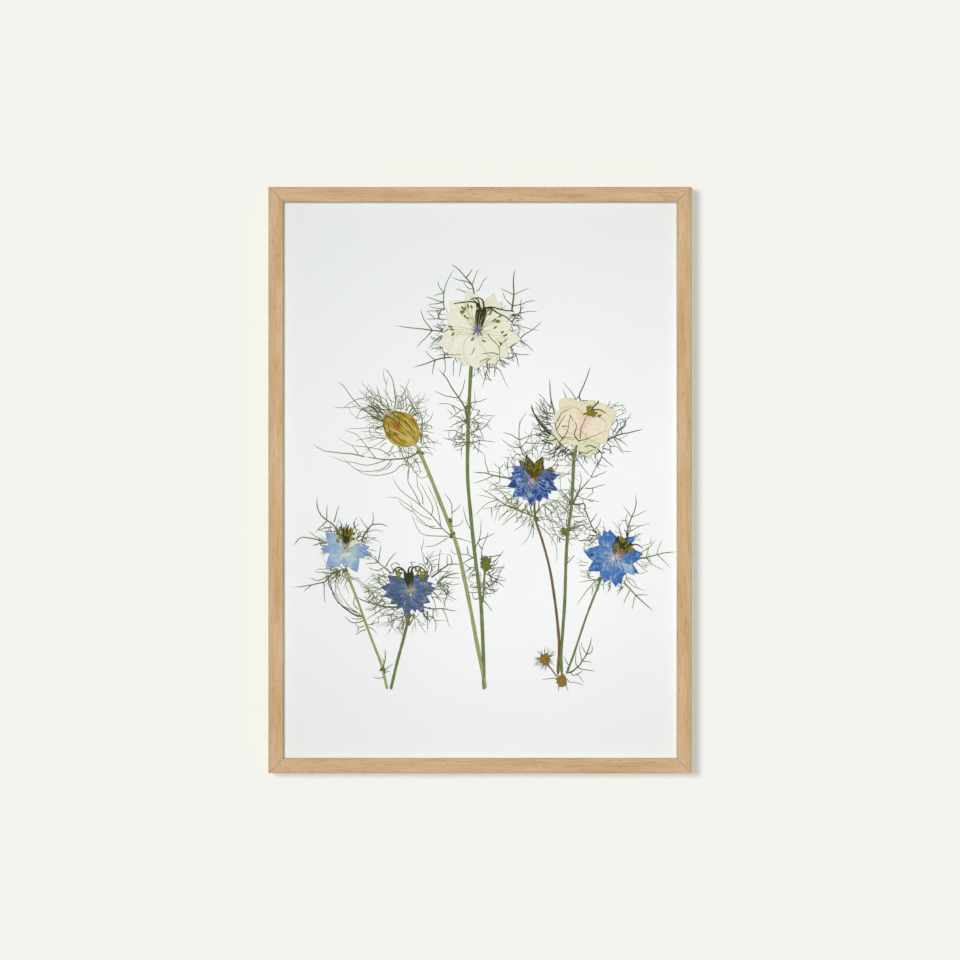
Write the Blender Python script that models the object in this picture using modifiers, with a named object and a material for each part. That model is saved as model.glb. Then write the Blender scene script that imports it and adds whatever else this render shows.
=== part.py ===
"""Pressed love-in-a-mist (Nigella) under glass in a slim oak frame that hangs on a wall.

Units are metres. +Z is up and -Y faces the viewer. The back of the frame lies in the plane
y = 0, against the wall, and the origin is the hanging point: the middle of the hanger's
toothed edge, carried straight back to that plane.

The pressed plants are laid out on the card in card millimetres: x to the right and y up from
the card's centre, and a lift out of the card towards the glass. Each leaf, ruff of bracts,
whorl of petals and pistil is a thin plain slab whose points reach the tips of the real one.
"""
import math

import bmesh
import bpy
from mathutils import Matrix, Vector

MM = 0.001

# Oak frame
WINDOW_WIDTH = 210 * MM
WINDOW_HEIGHT = 297 * MM
RAIL_FACE = 8 * MM
RAIL_DEPTH = 20 * MM
LIP_THICKNESS = 2.5 * MM
RABBET_WIDTH = 4 * MM
ARRIS = 0.4 * MM
MITRE_GAP = 0.2 * MM

# What is stacked behind the lip, front to back, with a small gap between the layers
SEAT_GAP = 0.2 * MM
GLASS_THICKNESS = 2 * MM
SPACER_THICKNESS = 2.9 * MM
CARD_THICKNESS = 1.4 * MM
BACKING_THICKNESS = 3 * MM
SHEET_SIDE_GAP = 0.5 * MM
SPACER_SETBACK = 0.5 * MM

# Fittings on the back
HANGER_DROP = 32 * MM
HANGER_LENGTH = 46 * MM
HANGER_HEIGHT = 10 * MM
HANGER_FOOT = 9 * MM
HANGER_RISE = 1.8 * MM
HANGER_GAUGE = 0.8 * MM
TOOTH_COUNT = 9
TOOTH_PITCH = 2.2 * MM
TOOTH_DEPTH = 1.6 * MM
RIVET_HEAD_RADIUS = 2.6 * MM
RIVET_SHANK_RADIUS = 1.3 * MM
RIVET_HOLE_RADIUS = 1.6 * MM
TAB_WIDTH = 7 * MM
TAB_LENGTH = 13 * MM
TAB_THICKNESS = 0.4 * MM
TAB_WALL_GAP = 0.3 * MM

GLASS_FRONT = -RAIL_DEPTH + LIP_THICKNESS + SEAT_GAP
SPACER_FRONT = GLASS_FRONT + GLASS_THICKNESS + SEAT_GAP
CARD_FRONT = SPACER_FRONT + SPACER_THICKNESS + SEAT_GAP
BACKING_FRONT = CARD_FRONT + CARD_THICKNESS + SEAT_GAP
RECESS_FLOOR = BACKING_FRONT + BACKING_THICKNESS
FITTING_FRONT = RECESS_FLOOR + SEAT_GAP
WINDOW_CENTRE_Z = HANGER_DROP - RAIL_FACE - WINDOW_HEIGHT / 2

# Pressed plants: lifts from the card in card millimetres, as (back, front) of each layer
LEAF_LAYERS = ((0.2, 0.35), (0.5, 0.65), (0.8, 0.95))
STEM_LIFT = 1.45
STEM_FLATNESS = 0.3
PETAL_LAYER = (1.95, 2.1)
PISTIL_LAYER = (2.3, 3.1)
BUD_LAYER = (1.95, 3.1)
CAPSULE_LAYER = (0.5, 3.1)
CROWN_LAYER = (0.5, 2.0)
PASSED_BEHIND = 0.7
CURVE_STEPS = 3

COLOURS = {
    "oak": ((0.58, 0.41, 0.22), 0.55, 0.0),
    "glass": ((0.95, 0.97, 0.96), 0.05, 0.0),
    "card": ((0.88, 0.90, 0.89), 0.8, 0.0),
    "board": ((0.45, 0.33, 0.22), 0.8, 0.0),
    "steel": ((0.55, 0.55, 0.55), 0.35, 1.0),
    "green": ((0.16, 0.20, 0.07), 0.7, 0.0),
    "pale_green": ((0.30, 0.34, 0.12), 0.7, 0.0),
    "thread": ((0.13, 0.16, 0.09), 0.7, 0.0),
    "white_petal": ((0.85, 0.82, 0.70), 0.7, 0.0),
    "cream_petal": ((0.80, 0.72, 0.56), 0.7, 0.0),
    "pale_petal": ((0.30, 0.42, 0.66), 0.7, 0.0),
    "dusk_petal": ((0.11, 0.15, 0.38), 0.7, 0.0),
    "royal_petal": ((0.04, 0.09, 0.38), 0.7, 0.0),
    "sky_petal": ((0.08, 0.20, 0.55), 0.7, 0.0),
    "pistil": ((0.06, 0.07, 0.03), 0.6, 0.0),
    "capsule": ((0.38, 0.25, 0.03), 0.55, 0.0),
    "crown": ((0.14, 0.12, 0.05), 0.7, 0.0),
}

# Stems in card millimetres: name, colour, width, and a route of (x, up, lift)
STEMS = (
    ("white_stem", "green", 1.8, (
        (-2.5, 73, STEM_LIFT), (-4.9, 58, STEM_LIFT), (-6.3, 25, STEM_LIFT), (-6.6, 2, STEM_LIFT),
        (-4.8, -20, STEM_LIFT), (-2.7, -40, STEM_LIFT), (0.3, -64, STEM_LIFT), (1.2, -78, 1.1),
        (1.7, -90, PASSED_BEHIND), (2.1, -101, PASSED_BEHIND), (1.9, -112, PASSED_BEHIND))),
    ("capsule_stem", "pale_green", 1.9, (
        (-32.9, 16.4, STEM_LIFT), (-27.5, 4, STEM_LIFT), (-21.5, -11, STEM_LIFT),
        (-16, -25, STEM_LIFT), (-11.8, -37, STEM_LIFT), (-8.5, -52, STEM_LIFT),
        (-5, -69, STEM_LIFT), (-1.9, -86, STEM_LIFT), (0.7, -99, STEM_LIFT),
        (3.1, -111.5, STEM_LIFT))),
    ("pale_stem", "pale_green", 1.2, (
        (-72, -42, STEM_LIFT), (-72.3, -49, STEM_LIFT), (-66.6, -61.5, STEM_LIFT),
        (-62.4, -73, STEM_LIFT), (-57.6, -86, STEM_LIFT), (-52.8, -98.5, STEM_LIFT),
        (-49.6, -111.8, STEM_LIFT))),
    ("dusk_stem", "green", 1.6, (
        (-38, -66, STEM_LIFT), (-38.8, -76, STEM_LIFT), (-40.8, -84.5, STEM_LIFT),
        (-44.3, -97.5, STEM_LIFT), (-47.7, -112, STEM_LIFT))),
    ("side_bud_stalk", "green", 1.0, (
        (2.5, -49, STEM_LIFT), (2, -54, STEM_LIFT), (1.85, -61, STEM_LIFT))),
    ("royal_stem", "crown", 1.1, (
        (29.2, -5, STEM_LIFT), (29.5, -20, STEM_LIFT), (33.5, -33, STEM_LIFT),
        (37.4, -48, STEM_LIFT), (40.1, -65, STEM_LIFT), (41.8, -80, 1.0), (42.4, -90, PASSED_BEHIND),
        (41.9, -98, PASSED_BEHIND), (41.7, -104.2, PASSED_BEHIND))),
    ("cream_stem", "green", 1.7, (
        (52, 24, STEM_LIFT), (50.3, 12, STEM_LIFT), (49.7, 0, STEM_LIFT), (48.9, -14, STEM_LIFT),
        (46.9, -29, STEM_LIFT), (46, -43, STEM_LIFT), (45.3, -65, STEM_LIFT),
        (44, -84, STEM_LIFT), (43.3, -94, STEM_LIFT), (43.8, -104.2, STEM_LIFT))),
    ("sky_stem", "green", 1.1, (
        (67, -49, STEM_LIFT), (61.5, -61, STEM_LIFT), (56.5, -74, STEM_LIFT),
        (50.5, -92, STEM_LIFT), (46.3, -103.6, STEM_LIFT))),
    ("base_bud_stalk", "crown", 0.8, (
        (36.6, -99.4, STEM_LIFT), (38.4, -101.4, STEM_LIFT), (40.5, -104.6, STEM_LIFT))),
)

# Leaves and ruffs of bracts: name, layer behind the stems, centre, tips, all on the card
LEAVES = (
    ("white_bracts", 0, (-1.5, 79.5), (
        (33, 85), (30, 95.5), (18.5, 113), (3.8, 109), (-0.5, 113), (-16, 116), (-23, 106.5),
        (-29, 97.5), (-32, 91.5), (-45, 82.5), (-34, 71), (-36, 60.3), (-25.5, 56), (-11, 55),
        (1, 49.5), (15, 49), (21, 60), (29, 68.5))),
    ("white_leaves", 1, (-6.2, 32), (
        (8, 35), (9, 20), (2, 14), (-10, 12), (-14, 15), (-20, 22.5), (-17, 32), (-23, 41),
        (-24.5, 48), (-22, 60), (-8, 55), (4, 44))),
    ("capsule_bracts", 0, (-42, 24), (
        (-24, 20.5), (-25.5, 36), (-29, 46), (-38, 53), (-52, 60), (-64, 53), (-76.5, 53),
        (-73, 38), (-74, 27), (-90, 19), (-81, 13), (-62, 3), (-48, 2.5), (-30, 0.5), (-25, 9))),
    ("capsule_leaf", 1, (-24, -18), (
        (-8.5, -14), (-19, -7), (-28.5, -2), (-35, 5), (-48, 3), (-51, -9.5), (-37, -22),
        (-30, -30), (-29, -36), (-17, -33), (-9, -24))),
    ("pale_bracts", 0, (-72, -40), (
        (-55.5, -30.5), (-49, -24.5), (-57.5, -17), (-64.7, -19.5), (-75.3, -13), (-81.7, -13),
        (-87, -9), (-91.5, -27), (-100, -35), (-100, -57), (-83, -66), (-67, -54))),
    ("pale_leaf", 1, (-66, -71), (
        (-53, -76), (-60, -66), (-67, -62), (-75, -60), (-80, -53), (-73, -73), (-67, -83),
        (-56, -82))),
    ("pale_base_leaf", 0, (-51, -102), (
        (-46.5, -98.5), (-50.5, -91), (-57.5, -105.5), (-50, -106))),
    ("dusk_bracts", 2, (-37.6, -58.5), (
        (-10, -55.5), (-10, -45.3), (-20.7, -36), (-30.5, -40), (-45, -38.5), (-52.7, -34.5),
        (-60, -44.5), (-65, -54), (-66.5, -62), (-61, -75), (-46, -78), (-30, -77.5), (-24, -82),
        (-16, -79.5), (-12, -70), (-11.5, -64.5))),
    ("side_bud_leaves", 2, (0, -47), (
        (13, -37), (8, -28.5), (0.5, -20.5), (-8.7, -13.5), (-7, -35), (-9.5, -44.5), (-8, -53),
        (-6, -57), (-3, -64.5), (7, -70.5), (13, -57), (14.5, -47.5))),
    ("royal_bracts", 0, (27, -2), (
        (44, 0), (40, 12), (32, 22), (21.5, 33), (11, 25.5), (3, 15), (-4, 4.3), (-3.5, -2.5),
        (-3, -19), (9.5, -22), (18, -27.5), (22, -35.5), (28, -31.5), (41, -37), (42, -22))),
    ("cream_bracts", 1, (54, 29), (
        (87, 27.5), (81, 36), (59.5, 61), (43.5, 53), (37, 54.5), (30.5, 46.5), (27, 40.5),
        (23, 33), (30, 20), (33, 14), (46, 8.5), (65, 13), (72, 6.5), (81.5, 15))),
    ("cream_leaves", 2, (49, -12), (
        (68, 4.5), (63.5, 10.5), (53, 6), (46, 3), (40.5, -5), (36.5, -20), (42, -33.5),
        (54, -39.5), (63, -31), (64.5, -20), (65, -11.5), (67.5, -2))),
    ("sky_bracts", 0, (72.3, -41), (
        (104.5, -38.5), (98, -31.5), (91.5, -22.5), (90, -16), (83, -7.5), (76, -13.5),
        (71, -21.5), (52.5, -51), (51.5, -67), (81, -69), (93, -70), (90.5, -61.5), (102, -47))),
    ("base_leaf", 0, (48, -103), (
        (62, -102), (60.5, -97.5), (60, -83.5), (54, -87), (51, -92), (45, -94), (33, -107),
        (42, -113), (47.5, -113), (58.5, -109))),
)

# Flowers: name, petal colour, centre, petals as (angle in degrees, length), pistil tips
FLOWERS = (
    ("white", "white_petal", (-1.5, 79.5), (
        (14, 21), (40, 21), (68, 20.5), (95, 21.5), (116, 20.5), (140, 22), (162, 19.5),
        (188, 19), (210, 20.5), (238, 20), (268, 21.5), (298, 20), (322, 21), (350, 22.5)),
        ((14.5, 78), (18, 85), (18.5, 91), (2.5, 94.5), (-2, 98), (-14, 94.5), (-17, 83),
         (-15, 78), (-1.5, 76.5))),
    ("pale", "pale_petal", (-71.5, -37.5), (
        (0, 12.8), (90, 13.5), (139, 14.5), (176, 13.5), (220, 13.7), (262, 10), (296, 12)),
        ((-66.5, -28), (-71, -23.5), (-76, -25), (-76.5, -32), (-72, -37), (-69, -34))),
    ("dusk", "dusk_petal", (-37.6, -58.5), (
        (10, 14.5), (39, 13.6), (67, 11.5), (148, 13.4), (176, 15.4), (194, 14.7), (217, 12.5),
        (240, 12.5), (263, 14.6), (282, 12), (301, 14.6), (328, 14.2), (354, 14)),
        ((-29.5, -50), (-33, -46), (-38, -49), (-43.5, -46.5), (-46.5, -49), (-40, -56),
         (-37.5, -59), (-34, -57))),
    ("royal", "royal_petal", (28.8, 0.3), (
        (9, 12.4), (25, 11.2), (69, 12.5), (109, 13.4), (127, 12.8), (149, 13.8), (171, 12),
        (198, 14.2), (220, 15.3), (240, 12.5), (268, 13.8), (290, 12.2), (310, 12), (333, 13.5)),
        ((33.5, 12), (29, 10), (24, 13), (26.5, 5), (29.5, 1), (32, 5))),
    ("cream", "cream_petal", (54, 29), (
        (10, 18), (33, 17.5), (62, 15.5), (88, 14), (112, 14.5), (134, 17.5), (160, 16),
        (184, 15.5), (208, 17), (236, 14.5), (285, 17), (306, 16), (335, 16.5)),
        ((67, 36), (63.3, 42), (56.8, 38), (58, 33.8), (65, 34.5))),
    ("sky", "sky_petal", (72.3, -41), (
        (5, 14.7), (47, 15), (103, 14.9), (127, 15.5), (170, 17.1), (208, 16.1), (243, 15.4),
        (272, 16), (312, 14.2), (324, 15.4)),
        ((86, -36), (81, -31), (77, -26.5), (74.5, -31), (73, -41), (77, -40), (82, -39))),
)

# Rounded bodies: name, colour, centre, half length, half width, tilt of the length, layer
ROUNDED = (
    ("seed_capsule", "capsule", (-42.4, 27.8), 11, 8.8, 133, CAPSULE_LAYER),
    ("side_bud", "green", (2.7, -44), 4, 3.1, 90, BUD_LAYER),
    ("base_crown", "crown", (43.6, -107.3), 2.5, 2.1, 90, CROWN_LAYER),
)

BASE_BUD_CENTRE = (34.7, -95.6)
BASE_BUD_TIPS = ((39, -94), (36.5, -90), (33.4, -88.7), (30.5, -91), (28.4, -94.6), (30.5, -98),
                 (34, -100.4), (37.8, -97.5))

# Turned tabs that hold the backing in: name, position along the rail's inner wall, turn
TABS = (
    ("tab_left_upper", "left", 0.28),
    ("tab_left_lower", "left", -0.28),
    ("tab_right_upper", "right", 0.28),
    ("tab_right_lower", "right", -0.28),
    ("tab_top", "top", 0.0),
    ("tab_bottom", "bottom", 0.0),
)


def clear_scene():
    """Removes every object that the scene starts with."""
    for obj in list(bpy.data.objects):
        bpy.data.objects.remove(obj, do_unlink=True)


def new_collection(name):
    """Adds a collection to the scene."""
    collection = bpy.data.collections.new(name)
    bpy.context.scene.collection.children.link(collection)
    return collection


def make_materials():
    """Makes one Principled material for each named colour."""
    made = {}
    for name, (colour, roughness, metallic) in COLOURS.items():
        material = bpy.data.materials.new(name)
        material.use_nodes = True
        shader = material.node_tree.nodes["Principled BSDF"]
        shader.inputs["Base Color"].default_value = (*colour, 1)
        shader.inputs["Roughness"].default_value = roughness
        shader.inputs["Metallic"].default_value = metallic
        made[name] = material
    return made


def add_object(name, data, collection, material=None):
    """Links a new object that holds the data."""
    obj = bpy.data.objects.new(name, data)
    collection.objects.link(obj)
    if material is not None:
        data.materials.append(material)
    return obj


def outline_curve(name, loops, thickness):
    """A flat 2D curve of closed loops, filled on both sides and as thick as asked."""
    curve = bpy.data.curves.new(name, "CURVE")
    curve.dimensions = "2D"
    curve.fill_mode = "BOTH"
    curve.extrude = thickness / 2
    for loop in loops:
        spline = curve.splines.new("POLY")
        spline.points.add(len(loop) - 1)
        for point, (x, y) in zip(spline.points, loop):
            point.co = (x, y, 0, 1)
        spline.use_cyclic_u = True
    return curve


def as_mesh(obj):
    """Swaps a curve object for a mesh object of the same name, place and material."""
    bpy.context.view_layer.update()
    evaluated = obj.evaluated_get(bpy.context.evaluated_depsgraph_get())
    mesh = bpy.data.meshes.new_from_object(evaluated)
    shape = bmesh.new()
    shape.from_mesh(mesh)
    bmesh.ops.remove_doubles(shape, verts=shape.verts, dist=0.01 * MM)
    shape.to_mesh(mesh)
    shape.free()
    name = obj.name
    collection = obj.users_collection[0]
    matrix = obj.matrix_world.copy()
    bpy.data.objects.remove(obj, do_unlink=True)
    swapped = add_object(name, mesh, collection)
    swapped.matrix_world = matrix
    return swapped


def add_board(name, size, centre, collection, material):
    """A rectangular board, sized before it is placed so that its scale stays one."""
    shape = bmesh.new()
    bmesh.ops.create_cube(shape, size=1)
    bmesh.ops.scale(shape, vec=size, verts=shape.verts)
    mesh = bpy.data.meshes.new(name)
    shape.to_mesh(mesh)
    shape.free()
    obj = add_object(name, mesh, collection, material)
    obj.location = centre
    return obj


def cut_mitre(mesh, half_opening, side):
    """Cuts one end of a rail at 45 degrees through the window's corner and closes the cut."""
    shape = bmesh.new()
    shape.from_mesh(mesh)
    corner = Vector((side * (half_opening - MITRE_GAP / 2), 0, 0))
    outward = Vector((side, 0, -1)).normalized()
    geometry = shape.verts[:] + shape.edges[:] + shape.faces[:]
    bmesh.ops.bisect_plane(shape, geom=geometry, dist=0.001 * MM, plane_co=corner,
                           plane_no=outward, clear_outer=True)
    rim = [edge for edge in shape.edges if edge.is_boundary]
    bmesh.ops.holes_fill(shape, edges=rim, sides=0)
    bmesh.ops.recalc_face_normals(shape, faces=shape.faces)
    shape.to_mesh(mesh)
    shape.free()


def add_rail(name, opening, reach, turn, collection, material):
    """One oak rail: an L section run along the window's edge and mitred at both ends.

    The section's x runs from front to back and its y outwards from the window's edge.
    """
    section = (
        (0, ARRIS), (ARRIS, 0), (LIP_THICKNESS, 0), (LIP_THICKNESS, RABBET_WIDTH),
        (RAIL_DEPTH, RABBET_WIDTH), (RAIL_DEPTH, RAIL_FACE), (ARRIS, RAIL_FACE),
        (0, RAIL_FACE - ARRIS))
    length = opening + 2 * RAIL_FACE
    obj = add_object(name, outline_curve(name, [section], length), collection, material)
    obj = as_mesh(obj)
    section_to_rail = Matrix(((0, 0, 1, 0), (1, 0, 0, 0), (0, 1, 0, 0), (0, 0, 0, 1)))
    obj.data.transform(section_to_rail)
    cut_mitre(obj.data, opening / 2, 1)
    cut_mitre(obj.data, opening / 2, -1)
    spin = Matrix.Rotation(turn, 4, "Y")
    window_edge = spin @ Vector((0, 0, reach))
    obj.rotation_euler = (0, turn, 0)
    obj.location = (window_edge.x, -RAIL_DEPTH, WINDOW_CENTRE_Z + window_edge.z)
    return obj


def add_frame(collection, materials):
    """The four mitred oak rails round the window."""
    quarter = math.pi / 2
    oak = materials["oak"]
    add_rail("frame_rail_top", WINDOW_WIDTH, WINDOW_HEIGHT / 2, 0, collection, oak)
    add_rail("frame_stile_right", WINDOW_HEIGHT, WINDOW_WIDTH / 2, quarter, collection, oak)
    add_rail("frame_rail_bottom", WINDOW_WIDTH, WINDOW_HEIGHT / 2, 2 * quarter, collection, oak)
    add_rail("frame_stile_left", WINDOW_HEIGHT, WINDOW_WIDTH / 2, 3 * quarter, collection, oak)


def add_sheets(collection, materials):
    """The glass, the card and the backing board, each the size of the rabbet less its gap."""
    width = WINDOW_WIDTH + 2 * (RABBET_WIDTH - SHEET_SIDE_GAP)
    height = WINDOW_HEIGHT + 2 * (RABBET_WIDTH - SHEET_SIDE_GAP)
    sheets = (
        ("glazing_pane", GLASS_FRONT, GLASS_THICKNESS, "glass"),
        ("mount_card", CARD_FRONT, CARD_THICKNESS, "card"),
        ("backing_board", BACKING_FRONT, BACKING_THICKNESS, "board"),
    )
    for name, front, thickness, colour in sheets:
        centre = (0, front + thickness / 2, WINDOW_CENTRE_Z)
        add_board(name, (width, thickness, height), centre, collection, materials[colour])


def add_spacers(collection, materials):
    """Card strips hidden behind the lip, which hold the glass off the pressed plants."""
    strip = RABBET_WIDTH - SHEET_SIDE_GAP - SPACER_SETBACK
    depth_centre = SPACER_FRONT + SPACER_THICKNESS / 2
    across = WINDOW_WIDTH / 2 + SPACER_SETBACK + strip / 2
    up = WINDOW_HEIGHT / 2 + SPACER_SETBACK + strip / 2
    long_strip = WINDOW_WIDTH + 2 * (SPACER_SETBACK + strip)
    tall_strip = WINDOW_HEIGHT + 2 * SPACER_SETBACK - 2 * SEAT_GAP
    card = materials["card"]
    for name, side in (("spacer_top", 1), ("spacer_bottom", -1)):
        centre = (0, depth_centre, WINDOW_CENTRE_Z + side * up)
        add_board(name, (long_strip, SPACER_THICKNESS, strip), centre, collection, card)
    for name, side in (("spacer_right", 1), ("spacer_left", -1)):
        centre = (side * across, depth_centre, WINDOW_CENTRE_Z)
        add_board(name, (strip, SPACER_THICKNESS, tall_strip), centre, collection, card)


def add_tab(name, side, share, collection, material):
    """A springy steel tab: a strip with a round end that reaches in over the backing."""
    half = TAB_WIDTH / 2
    steps = 8
    tip = [
        (TAB_LENGTH - half + half * math.cos(angle), half * math.sin(angle))
        for angle in (math.pi * (step / steps - 0.5) for step in range(steps + 1))
    ]
    outline = [(0, half), (0, -half)] + tip
    obj = add_object(name, outline_curve(name, [outline], TAB_THICKNESS), collection, material)
    wall_x = WINDOW_WIDTH / 2 + RABBET_WIDTH - TAB_WALL_GAP
    wall_z = WINDOW_HEIGHT / 2 + RABBET_WIDTH - TAB_WALL_GAP
    places = {
        "left": (-wall_x, share * WINDOW_HEIGHT, 0),
        "right": (wall_x, share * WINDOW_HEIGHT, math.pi),
        "top": (share * WINDOW_WIDTH, wall_z, -math.pi / 2),
        "bottom": (share * WINDOW_WIDTH, -wall_z, math.pi / 2),
    }
    x, up, turn = places[side]
    obj.rotation_euler = (math.pi / 2, -turn, 0)
    obj.location = (x, FITTING_FRONT + TAB_THICKNESS / 2, WINDOW_CENTRE_Z + up)
    return obj


def add_cutter(name, loop, depth, cutters):
    """A hidden prism in the XZ plane that cuts right through the hanger."""
    obj = add_object(name, outline_curve(name, [loop], depth), cutters)
    obj = as_mesh(obj)
    obj.rotation_euler = (math.pi / 2, 0, 0)
    obj.hide_render = True
    obj.display_type = "WIRE"
    return obj


def circle_points(centre, radius, count):
    """Points evenly round a circle, anticlockwise."""
    return [
        (centre[0] + radius * math.cos(math.tau * i / count),
         centre[1] + radius * math.sin(math.tau * i / count))
        for i in range(count)
    ]


def add_hanger(collection, cutters, materials):
    """A sawtooth hanger: a strip bridged off the board, with teeth along its lower edge."""
    half = HANGER_LENGTH / 2
    foot = half - HANGER_FOOT
    bend = foot - HANGER_RISE
    near = [(-half, 0), (-foot, 0), (-bend, HANGER_RISE), (bend, HANGER_RISE), (foot, 0),
            (half, 0)]
    far = [(x, y + HANGER_GAUGE) for x, y in reversed(near)]
    strip = outline_curve("hanger", [near + far], HANGER_HEIGHT)
    hanger = add_object("hanger", strip, collection, materials["steel"])
    hanger = as_mesh(hanger)
    hanger.location = (0, FITTING_FRONT, HANGER_HEIGHT / 2 - TOOTH_DEPTH)

    saw = []
    for tooth in range(TOOTH_COUNT):
        start = (tooth - TOOTH_COUNT / 2) * TOOTH_PITCH
        saw += [(start, -2 * TOOTH_DEPTH), (start + TOOTH_PITCH / 2, 0)]
    saw.append((TOOTH_COUNT / 2 * TOOTH_PITCH, -2 * TOOTH_DEPTH))
    holes = [("hanger_teeth_cutter", saw)]
    rivet_up = HANGER_HEIGHT / 2 - TOOTH_DEPTH
    for side, word in ((-1, "left"), (1, "right")):
        centre = (side * (half - HANGER_FOOT / 2), rivet_up)
        loop = circle_points(centre, RIVET_HOLE_RADIUS, 24)
        holes.append((f"hanger_{word}_hole_cutter", loop))
    for name, loop in holes:
        cutter = add_cutter(name, loop, RAIL_DEPTH, cutters)
        cut = hanger.modifiers.new(name, "BOOLEAN")
        cut.operation = "DIFFERENCE"
        cut.object = cutter

    head_front = HANGER_GAUGE + SEAT_GAP
    head_height = 0.9 * MM
    profile = (
        (0, head_front + head_height),
        (RIVET_HEAD_RADIUS * 0.6, head_front + head_height * 0.85),
        (RIVET_HEAD_RADIUS, head_front + head_height * 0.2),
        (RIVET_HEAD_RADIUS, head_front),
        (RIVET_SHANK_RADIUS, head_front),
        (RIVET_SHANK_RADIUS, 0),
        (0, 0),
    )
    for side, word in ((-1, "left"), (1, "right")):
        mesh = bpy.data.meshes.new(f"hanger_rivet_{word}")
        points = [(radius, 0, height) for radius, height in profile]
        edges = [(i, i + 1) for i in range(len(points) - 1)]
        mesh.from_pydata(points, edges, [])
        rivet = add_object(mesh.name, mesh, collection, materials["steel"])
        turned = rivet.modifiers.new("turned", "SCREW")
        turned.steps = 24
        turned.render_steps = 24
        turned.use_merge_vertices = True
        turned.merge_threshold = 0.01 * MM
        rivet.rotation_euler = (-math.pi / 2, 0, 0)
        rivet.location = (side * (half - HANGER_FOOT / 2), FITTING_FRONT, rivet_up)


def smooth_route(points, steps):
    """A Catmull-Rom curve through the points, with the same number of steps in each span."""
    path = [Vector(point) for point in points]
    padded = [2 * path[0] - path[1]] + path + [2 * path[-1] - path[-2]]
    route = []
    for before, start, end, after in zip(padded, padded[1:], padded[2:], padded[3:]):
        for step in range(steps):
            t = step / steps
            route.append(0.5 * (
                2 * start + (end - before) * t
                + (2 * before - 5 * start + 4 * end - after) * t * t
                + (3 * start - before - 3 * end + after) * t * t * t))
    route.append(path[-1])
    return route


def on_card(obj, card, lift=0.0):
    """Hangs an object on the card, at a lift out of its face in card millimetres."""
    obj.parent = card
    obj.location = (0, 0, lift * MM)
    return obj


def add_stem(name, width, route, card, collection, material):
    """A pressed stem: a round tube along its route, squashed flat out of the card."""
    curve = bpy.data.curves.new(name, "CURVE")
    curve.dimensions = "3D"
    curve.bevel_depth = width / 2 * MM
    curve.bevel_resolution = 2
    curve.use_fill_caps = True
    smoothed = smooth_route(route, CURVE_STEPS)
    spline = curve.splines.new("POLY")
    spline.points.add(len(smoothed) - 1)
    for point, (x, up, lift) in zip(spline.points, smoothed):
        point.co = (x * MM, up * MM, lift * MM / STEM_FLATNESS, 1)
    obj = on_card(add_object(name, curve, collection, material), card)
    obj.scale = (1, 1, STEM_FLATNESS)
    return obj


def spiky_outline(centre, tips, waist):
    """A star: the tips in order round the centre, with a waist point between neighbours."""
    arms = [Vector(tip) - Vector(centre) for tip in tips]
    arms.sort(key=lambda arm: math.atan2(arm.y, arm.x))
    loop = []
    for arm, following in zip(arms, arms[1:] + arms[:1]):
        loop.append(Vector(centre) + arm)
        loop.append(Vector(centre) + waist * (arm + following) / 2)
    return [(point.x * MM, point.y * MM) for point in loop]


def add_slab(name, outline, layer, card, collection, material):
    """A flat slab of the outline that fills a layer's depth over the card."""
    back, front = layer
    curve = outline_curve(name, [outline], (front - back) * MM)
    obj = add_object(name, curve, collection, material)
    return on_card(obj, card, (back + front) / 2)


def petal_tips(centre, petals):
    """The petals' tips on the card, from their angles and lengths."""
    return [
        (centre[0] + length * math.cos(math.radians(angle)),
         centre[1] + length * math.sin(math.radians(angle)))
        for angle, length in petals
    ]


def add_rounded(name, centre, half_length, half_width, tilt, layer, card, collection, material):
    """A rounded body pressed flat: a ball drawn out to its three half sizes."""
    back, front = layer
    shape = bmesh.new()
    bmesh.ops.create_uvsphere(shape, u_segments=18, v_segments=10, radius=MM)
    turned = Matrix.Rotation(math.radians(tilt), 4, "Z")
    sized = Matrix.Diagonal((half_length, half_width, (front - back) / 2, 1))
    bmesh.ops.transform(shape, matrix=turned @ sized, verts=shape.verts)
    mesh = bpy.data.meshes.new(name)
    shape.to_mesh(mesh)
    shape.free()
    mesh.shade_smooth()
    obj = add_object(name, mesh, collection, material)
    on_card(obj, card, (back + front) / 2)
    obj.location.x = centre[0] * MM
    obj.location.y = centre[1] * MM
    return obj


def add_plants(card, collection, materials):
    """Every pressed plant piece, laid on the card's front face."""
    for name, colour, width, route in STEMS:
        add_stem(name, width, route, card, collection, materials[colour])
    for name, layer, centre, tips in LEAVES:
        outline = spiky_outline(centre, tips, 0.55)
        add_slab(name, outline, LEAF_LAYERS[layer], card, collection, materials["thread"])
    for name, colour, centre, petals, pistil in FLOWERS:
        whorl = spiky_outline(centre, petal_tips(centre, petals), 0.8)
        add_slab(f"{name}_petals", whorl, PETAL_LAYER, card, collection, materials[colour])
        heart = Vector((sum(x for x, _ in pistil), sum(y for _, y in pistil))) / len(pistil)
        outline = spiky_outline(heart, pistil, 0.6)
        add_slab(f"{name}_pistil", outline, PISTIL_LAYER, card, collection, materials["pistil"])
    for name, colour, centre, half_length, half_width, tilt, layer in ROUNDED:
        add_rounded(name, centre, half_length, half_width, tilt, layer, card, collection,
                    materials[colour])
    bud = spiky_outline(BASE_BUD_CENTRE, BASE_BUD_TIPS, 0.7)
    add_slab("base_bud", bud, BUD_LAYER, card, collection, materials["crown"])


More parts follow.
